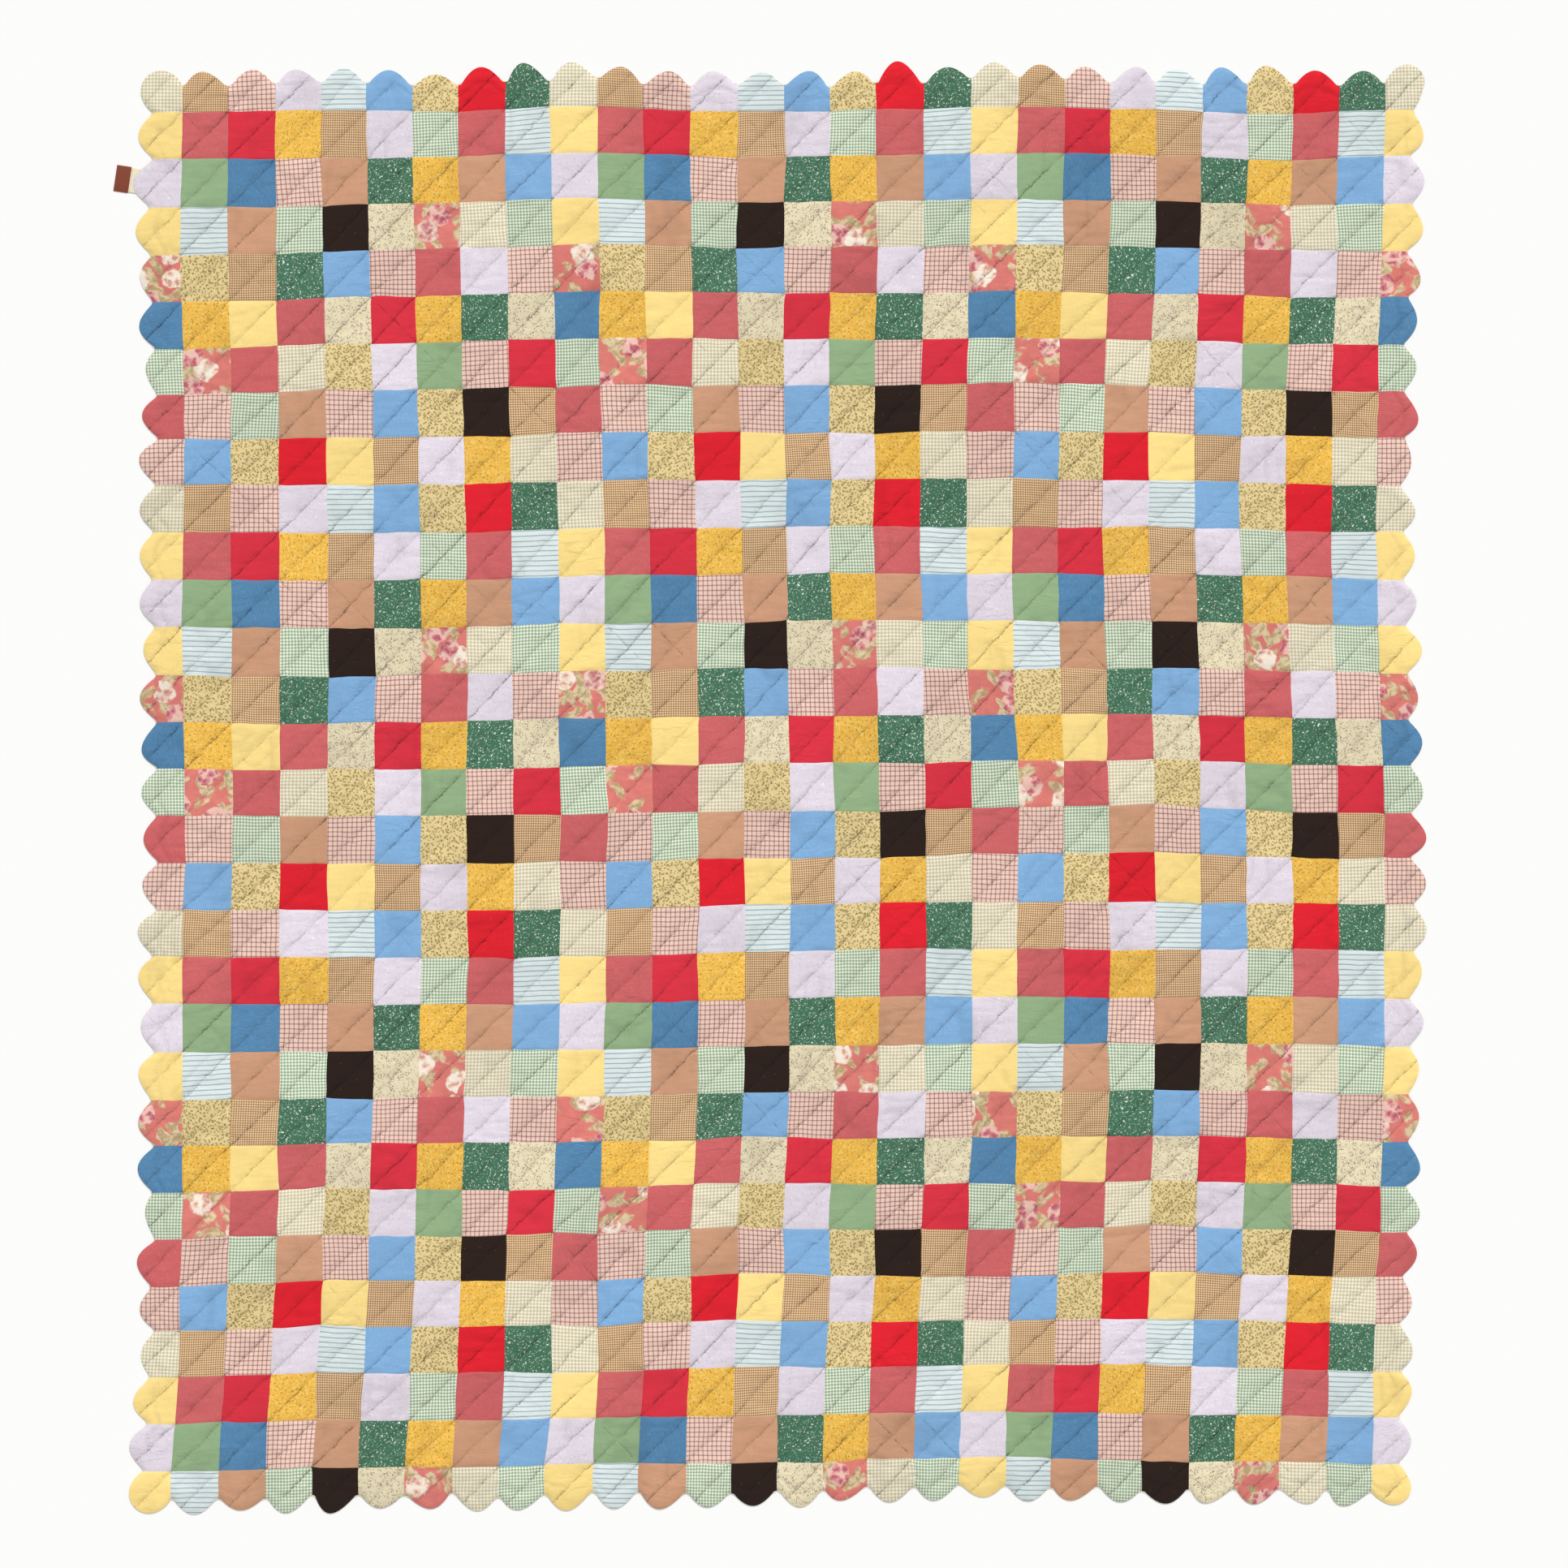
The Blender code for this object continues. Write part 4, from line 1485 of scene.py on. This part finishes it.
@dataclass
class Backing:
    """The plain cotton under the quilt and the thin roll that its turned-in edge makes."""

    grid: SewnGrid
    effects: EffectGroups
    cells: int = 10
    first_cell: float = 0.9
    roll_width: float = 1.0 * MM
    roll_height: float = 0.55 * MM
    roll_lift: float = 0.75 * MM
    roll_sides: int = 8
    lobe_steps: int = 20
    relief: QuiltedRelief = field(default_factory=QuiltedRelief)

    def build(self) -> list[bpy.types.Object]:
        """Builds the backing and the turned edge.

        Returns:
            The two pieces.
        """
        cotton = Cotton("backing", "efe6d2", slub=0.08)
        plan = PatchPlan(self.grid, graded_spacing(self.cells, self.first_cell))
        heights = self.relief.underside(plan)
        points = np.concatenate([plan.places, heights[..., None]], axis=-1).reshape(-1, 3)
        lines = plan.across + plan.down
        run = plan.across - plan.down
        count = len(points)
        flat = points[:, :2] / PITCH_ACROSS
        low, high = points.min(0)[:2], points.max(0)[:2]
        maps = {
            "cloth": flat,
            "quilting": np.stack([run.ravel(), lines.ravel()], axis=-1),
            "OFBake": 0.01 + 0.98 * (points[:, :2] - low) / (high - low),
        }
        # pull paints half-strength shade along the backing's stitch lines.
        values = {
            "tone": np.full(count, 0.5), "pull": np.full(count, 0.5),
            "fold": np.zeros(count), "cross": np.zeros(count), "soft": np.full(count, 0.5),
        }
        faces = grid_faces(len(plan.patches), self.cells + 1)[:, ::-1]
        backing = cloth_object("backing", points, faces, maps, values)
        self.weld(backing)
        backing.data.materials.append(cotton.material(self.effects))
        LOG.info("backing: %d triangles", 2 * len(backing.data.polygons))
        return [backing, self.roll()]

    def weld(self, piece: bpy.types.Object) -> None:
        """Joins the patches of one sheet along their shared edges."""
        bm = bmesh.new()
        bm.from_mesh(piece.data)
        bmesh.ops.remove_doubles(bm, verts=bm.verts, dist=0.05 * MM)
        bm.to_mesh(piece.data)
        bm.free()

    def roll(self) -> bpy.types.Object:
        """Makes the turned-in edge as a thin roll all round the quilt.

        Returns:
            The piece.
        """
        path = self.grid.outline(graded_spacing(self.lobe_steps, 0.45))
        ahead = np.roll(path, -1, axis=0) - np.roll(path, 1, axis=0)
        ahead /= np.linalg.norm(ahead, axis=1)[:, None]
        outward = np.stack([ahead[:, 1], -ahead[:, 0]], axis=-1)
        uneven = 1 + 0.2 * Layer.ROLL.at(path[:, 0] / 0.02, path[:, 1] / 0.02)
        angles = np.arange(self.roll_sides) * 2 * math.pi / self.roll_sides
        rings = []
        for angle in angles:
            across = (math.cos(angle) - 0.95) * self.roll_width
            lift = self.roll_lift + math.sin(angle) * self.roll_height
            flat = path + outward * (across * uneven)[:, None]
            rings.append(np.concatenate([flat, np.full((len(path), 1), lift)], axis=1))
        points = np.stack(rings, axis=1).reshape(-1, 3)
        n, m = len(path), self.roll_sides
        i = np.arange(n)[:, None]
        j = np.arange(m)[None, :]
        faces = np.stack(
            [i * m + j, ((i + 1) % n) * m + j, ((i + 1) % n) * m + (j + 1) % m, i * m + (j + 1) % m],
            axis=-1,
        ).reshape(-1, 4)[:, ::-1]
        maps = {"cloth": points[:, :2] / PITCH_ACROSS}
        piece = cloth_object("turned_edge", points, faces, maps, {})
        piece.data.materials.append(EdgeFinish().material(self.effects))
        LOG.info("turned_edge: %d triangles", 2 * len(piece.data.polygons))
        return piece


@dataclass(frozen=True)
class EdgeFinish:
    """Pale folded cotton, soft and a little rubbed."""

    name: str = "folded edge"
    ground: str = "e3dac9"
    rubbed: str = "f3ede0"

    def material(self, effects: EffectGroups) -> bpy.types.Material:
        """Builds the edge's material.

        Args:
            effects: the shared effects.

        Returns:
            The material.
        """
        made = ClothMaterial(self.name)
        w = made.wiring
        cloth = w.node("ShaderNodeUVMap", uv_map="cloth").outputs[0]
        place = w.node("ShaderNodeTexCoord").outputs["Object"]
        weave = effects.use(w, "plain weave", Cloth=cloth, Threads=150.0, Slub=0.1)
        wash = effects.use(w, "washing", Place=place)
        worn = w.noise(place, 90.0, 3.0).outputs[0]
        colour = w.blend(w.ramp(worn, 0.4, 0.65), srgb(self.ground), srgb(self.rubbed))
        height = w.math("MULTIPLY_ADD", weave["Height"], 0.05, wash["Height"])
        return made.finish(w.scaled(colour, wash["Fade"]), wash["Rough"], height, 0.4 * MM)


@dataclass(frozen=True)
class WovenFinish:
    """A ribbed woven tape or label."""

    name: str
    ground: str
    rib: str
    ribs: float = 1800.0

    def material(self, effects: EffectGroups) -> bpy.types.Material:
        """Builds the woven material.

        Args:
            effects: the shared effects.

        Returns:
            The material.
        """
        made = ClothMaterial(self.name)
        w = made.wiring
        place = w.node("ShaderNodeTexCoord").outputs["Object"]
        turned = w.turned(place, 8.5)
        bands = effects.use(w, "thread bands", Cloth=turned, Count=self.ribs, Share=0.5, Soft=0.25)
        wash = effects.use(w, "washing", Place=place)
        mask = w.math("MAXIMUM", bands["Upright"], w.math("MULTIPLY", bands["Level"], 0.6))
        colour = w.blend(mask, srgb(self.ground), srgb(self.rib))
        height = w.math("MULTIPLY_ADD", mask, 0.15, wash["Height"])
        colour = w.scaled(colour, wash["Fade"])
        return made.finish(colour, wash["Rough"], height, 0.3 * MM, specular=0.25)


@dataclass
class SideLabel:
    """The blank woven label at the left side, on its cream tape."""

    grid: SewnGrid
    effects: EffectGroups
    width: float = 22.0 * MM
    length: float = 39.5 * MM
    thick: float = 0.7 * MM
    turn: float = math.radians(-8.5)
    tape_length: float = 37.5 * MM
    tape_thick: float = 0.6 * MM
    under_lobe: float = 1.2 * MM
    stitch_gap: float = 2.2 * MM
    stitch_lift: float = 0.1 * MM
    stitch_pitch: float = 2.6 * MM

    def middle(self) -> Vector:
        """The label's middle, where the frame has it."""
        low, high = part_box("label")
        return (low + high) / 2

    def build(self) -> list[bpy.types.Object]:
        """Builds the label, its tape and the tape's stitches.

        Returns:
            The pieces: label, tape and stitches.
        """
        middle = self.middle()
        label = self.panel("woven_label", middle, self.width, self.length, self.thick)
        label.data.materials.append(WovenFinish("russet weave", "7c3c2a", "8a4a37").material(self.effects))
        tape = self.tape(middle)
        tape.data.materials.append(WovenFinish("cream tape", "eaddb8", "f3e9cf").material(self.effects))
        stitches = self.stitches(middle)
        stitches.data.materials.append(WovenFinish("brown thread", "a07c56", "b8946a").material(self.effects))
        for piece in (label, tape, stitches):
            LOG.info("%s: %d faces", piece.name, len(piece.data.polygons))
        return [label, tape, stitches]

    def panel(self, name: str, middle: Vector, width: float, length: float, thick: float) -> bpy.types.Object:
        """Models a small flat panel with soft edges.

        Args:
            name: the piece's name.
            middle: its middle.
            width: its size across.
            length: its size up.
            thick: its thickness.

        Returns:
            The piece.
        """
        bpy.ops.object.select_all(action="DESELECT")
        place = (middle.x, middle.y, thick / 2 + 0.1 * MM)
        bpy.ops.mesh.primitive_cube_add(size=1.0, location=place, rotation=(0, 0, self.turn))
        piece = bpy.context.object
        piece.name = piece.data.name = name
        piece.scale = (width, length, thick)
        bpy.ops.object.transform_apply(location=True, rotation=True, scale=True)
        bpy.ops.object.mode_set(mode="EDIT")
        bpy.ops.mesh.select_all(action="SELECT")
        bpy.ops.mesh.bevel(offset=0.22 * MM, segments=2, affect="EDGES")
        bpy.ops.object.mode_set(mode="OBJECT")
        piece.data.shade_smooth()
        piece.data.set_sharp_from_angle(angle=math.radians(50))
        return piece

    def reach_to_lobe(self, start: Vector, direction: Vector) -> float:
        """How far a line runs before it meets the quilt's edge.

        Args:
            start: where the line starts.
            direction: its unit direction.

        Returns:
            The distance.
        """
        path = self.grid.outline(np.linspace(0, 1, 21))
        a = path - np.array(start)
        b = np.roll(path, -1, axis=0) - path
        d = np.array(direction)
        cross = b[:, 0] * d[1] - b[:, 1] * d[0]
        t = (b[:, 0] * a[:, 1] - b[:, 1] * a[:, 0]) / cross
        s = (d[0] * a[:, 1] - d[1] * a[:, 0]) / cross
        hits = t[(s >= 0) & (s <= 1) & (t > 0)]
        return float(hits.min())

    def tape(self, middle: Vector) -> bpy.types.Object:
        """Makes the tape, from the label's edge to just under the lobe.

        Args:
            middle: the label's middle.

        Returns:
            The piece.
        """
        across = Vector((math.cos(self.turn), math.sin(self.turn)))
        up = Vector((-across.y, across.x))
        near = Vector((middle.x, middle.y)) + across * (self.width / 2 + 0.3 * MM)
        steps, cells = 25, 7
        rows = []
        for share in np.linspace(-0.5, 0.5, steps):
            start = near + up * self.tape_length * share
            reach = self.reach_to_lobe(start, across) + self.under_lobe
            rows.append([start + across * reach * k / cells for k in range(cells + 1)])
        points = np.array([[*p, 0.1 * MM] for row in rows for p in row])
        i = np.arange(steps - 1)[:, None] * (cells + 1) + np.arange(cells)[None, :]
        faces = np.stack([i, i + 1, i + cells + 2, i + cells + 1], axis=-1).reshape(-1, 4)
        piece = cloth_object("label_tape_cloth", points, faces, {"cloth": points[:, :2] / PITCH_ACROSS}, {})
        thicken = piece.modifiers.new("thick", "SOLIDIFY")
        thicken.thickness = self.tape_thick
        thicken.offset = 1.0
        bpy.ops.object.select_all(action="DESELECT")
        bpy.context.view_layer.objects.active = piece
        piece.select_set(True)
        bpy.ops.object.modifier_apply(modifier=thicken.name)
        return piece

    def stitches(self, middle: Vector) -> bpy.types.Object:
        """Makes the row of stitches that holds the tape, from one stitch copied along it.

        Args:
            middle: the label's middle.

        Returns:
            The piece.
        """
        across = Vector((math.cos(self.turn), math.sin(self.turn), 0))
        up = Vector((-across.y, across.x, 0))
        line = Vector((middle.x, middle.y, self.tape_thick + self.stitch_lift))
        line += across * (self.width / 2 + self.stitch_gap)
        pitch = self.stitch_pitch
        count = int(self.tape_length / pitch)
        parts = []
        for k in range(count):
            place = line + up * pitch * (k - (count - 1) / 2)
            bpy.ops.object.select_all(action="DESELECT")
            bpy.ops.mesh.primitive_uv_sphere_add(
                segments=8, ring_count=6, radius=0.5, location=place,
                rotation=(0, 0, self.turn + math.radians(4)),
            )
            part = bpy.context.object
            part.scale = (0.45 * MM, 1.9 * MM, 0.4 * MM)
            bpy.ops.object.transform_apply(location=True, rotation=True, scale=True)
            parts.append(part)
        bpy.ops.object.select_all(action="DESELECT")
        for part in parts:
            part.select_set(True)
        bpy.context.view_layer.objects.active = parts[0]
        bpy.ops.object.join()
        piece = bpy.context.object
        piece.name = piece.data.name = "tape_stitches"
        piece.data.shade_smooth()
        return piece


@dataclass
class Studio:
    """A pale floor, soft light from above the quilt's top edge, and a camera straight above."""

    frame_width: float = 1932 * 1.2174 * MM
    centre: tuple[float, float] = (0.4 * MM, 7.5 * MM)
    camera_height: float = 8.0
    floor_colour: str = "fdfdfc"
    sky: float = 0.62
    sun: float = 1.9
    sun_from: tuple[float, float, float] = (0.25, 1.0, 0.85)
    sun_softness: float = math.radians(16)

    def build(self) -> None:
        """Sets up floor, lights and camera."""
        self.build_floor()
        self.build_lights()
        self.build_camera()

    def build_floor(self) -> None:
        """Lays the pale floor."""
        bpy.ops.object.select_all(action="DESELECT")
        bpy.ops.mesh.primitive_plane_add(size=80.0, location=(0, 0, -0.25 * MM))
        floor = bpy.context.object
        floor.name = floor.data.name = "studio_floor"
        material = bpy.data.materials.new("matt paper")
        material.use_nodes = True
        material.node_tree.nodes.clear()
        w = Wiring(material.node_tree)
        place = w.node("ShaderNodeTexCoord").outputs["Object"]
        grain = w.noise(place, 300.0, 2.0).outputs[0]
        pale = srgb(self.floor_colour)
        colour = w.blend(grain, pale, tuple(c * 0.985 for c in pale))
        inputs = {"Base Color": colour, "Roughness": 0.95, "Specular IOR Level": 0.1}
        shader = w.node("ShaderNodeBsdfPrincipled", inputs)
        w.feed(w.node("ShaderNodeOutputMaterial").inputs["Surface"], shader.outputs[0])
        floor.data.materials.append(material)

    def build_lights(self) -> None:
        """Hangs one soft lamp and brightens the room evenly."""
        lamp = bpy.data.lights.new("soft_lamp", "SUN")
        lamp.energy = self.sun
        lamp.angle = self.sun_softness
        holder = bpy.data.objects.new("soft_lamp", lamp)
        holder.rotation_euler = Vector(self.sun_from).to_track_quat("Z", "Y").to_euler()
        bpy.context.scene.collection.objects.link(holder)
        world = bpy.data.worlds.new("room")
        world.use_nodes = True
        background = world.node_tree.nodes["Background"]
        background.inputs["Color"].default_value = (1.0, 1.0, 1.0, 1.0)
        background.inputs["Strength"].default_value = self.sky
        bpy.context.scene.world = world
        bpy.context.scene.view_settings.view_transform = "Standard"

    def build_camera(self) -> None:
        """Points the camera straight down at the middle of the picture."""
        camera = bpy.data.cameras.new("overhead")
        camera.sensor_width = 36.0
        camera.lens = 36.0 * self.camera_height / self.frame_width
        camera.clip_end = 50.0
        holder = bpy.data.objects.new("overhead", camera)
        holder.location = (*self.centre, self.camera_height)
        bpy.context.scene.collection.objects.link(holder)
        bpy.context.scene.camera = holder


def main() -> None:
    """Builds the studio, the quilt and its label, and ties every piece to the frame."""
    logging.basicConfig(level=logging.INFO, format="%(name)s: %(message)s")
    Studio().build()
    effects = EffectGroups()
    effects.build()
    grid = SewnGrid()
    for piece in PatchworkTop(grid, effects).build() + Backing(grid, effects).build():
        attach(piece, "root")
        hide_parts("quilt_body")
    label, tape, stitches = SideLabel(grid, effects).build()
    for piece in (label, tape, stitches):
        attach(piece, "root")
    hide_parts("label")
    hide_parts("label_tape")


if __name__ == "__main__":
    main()
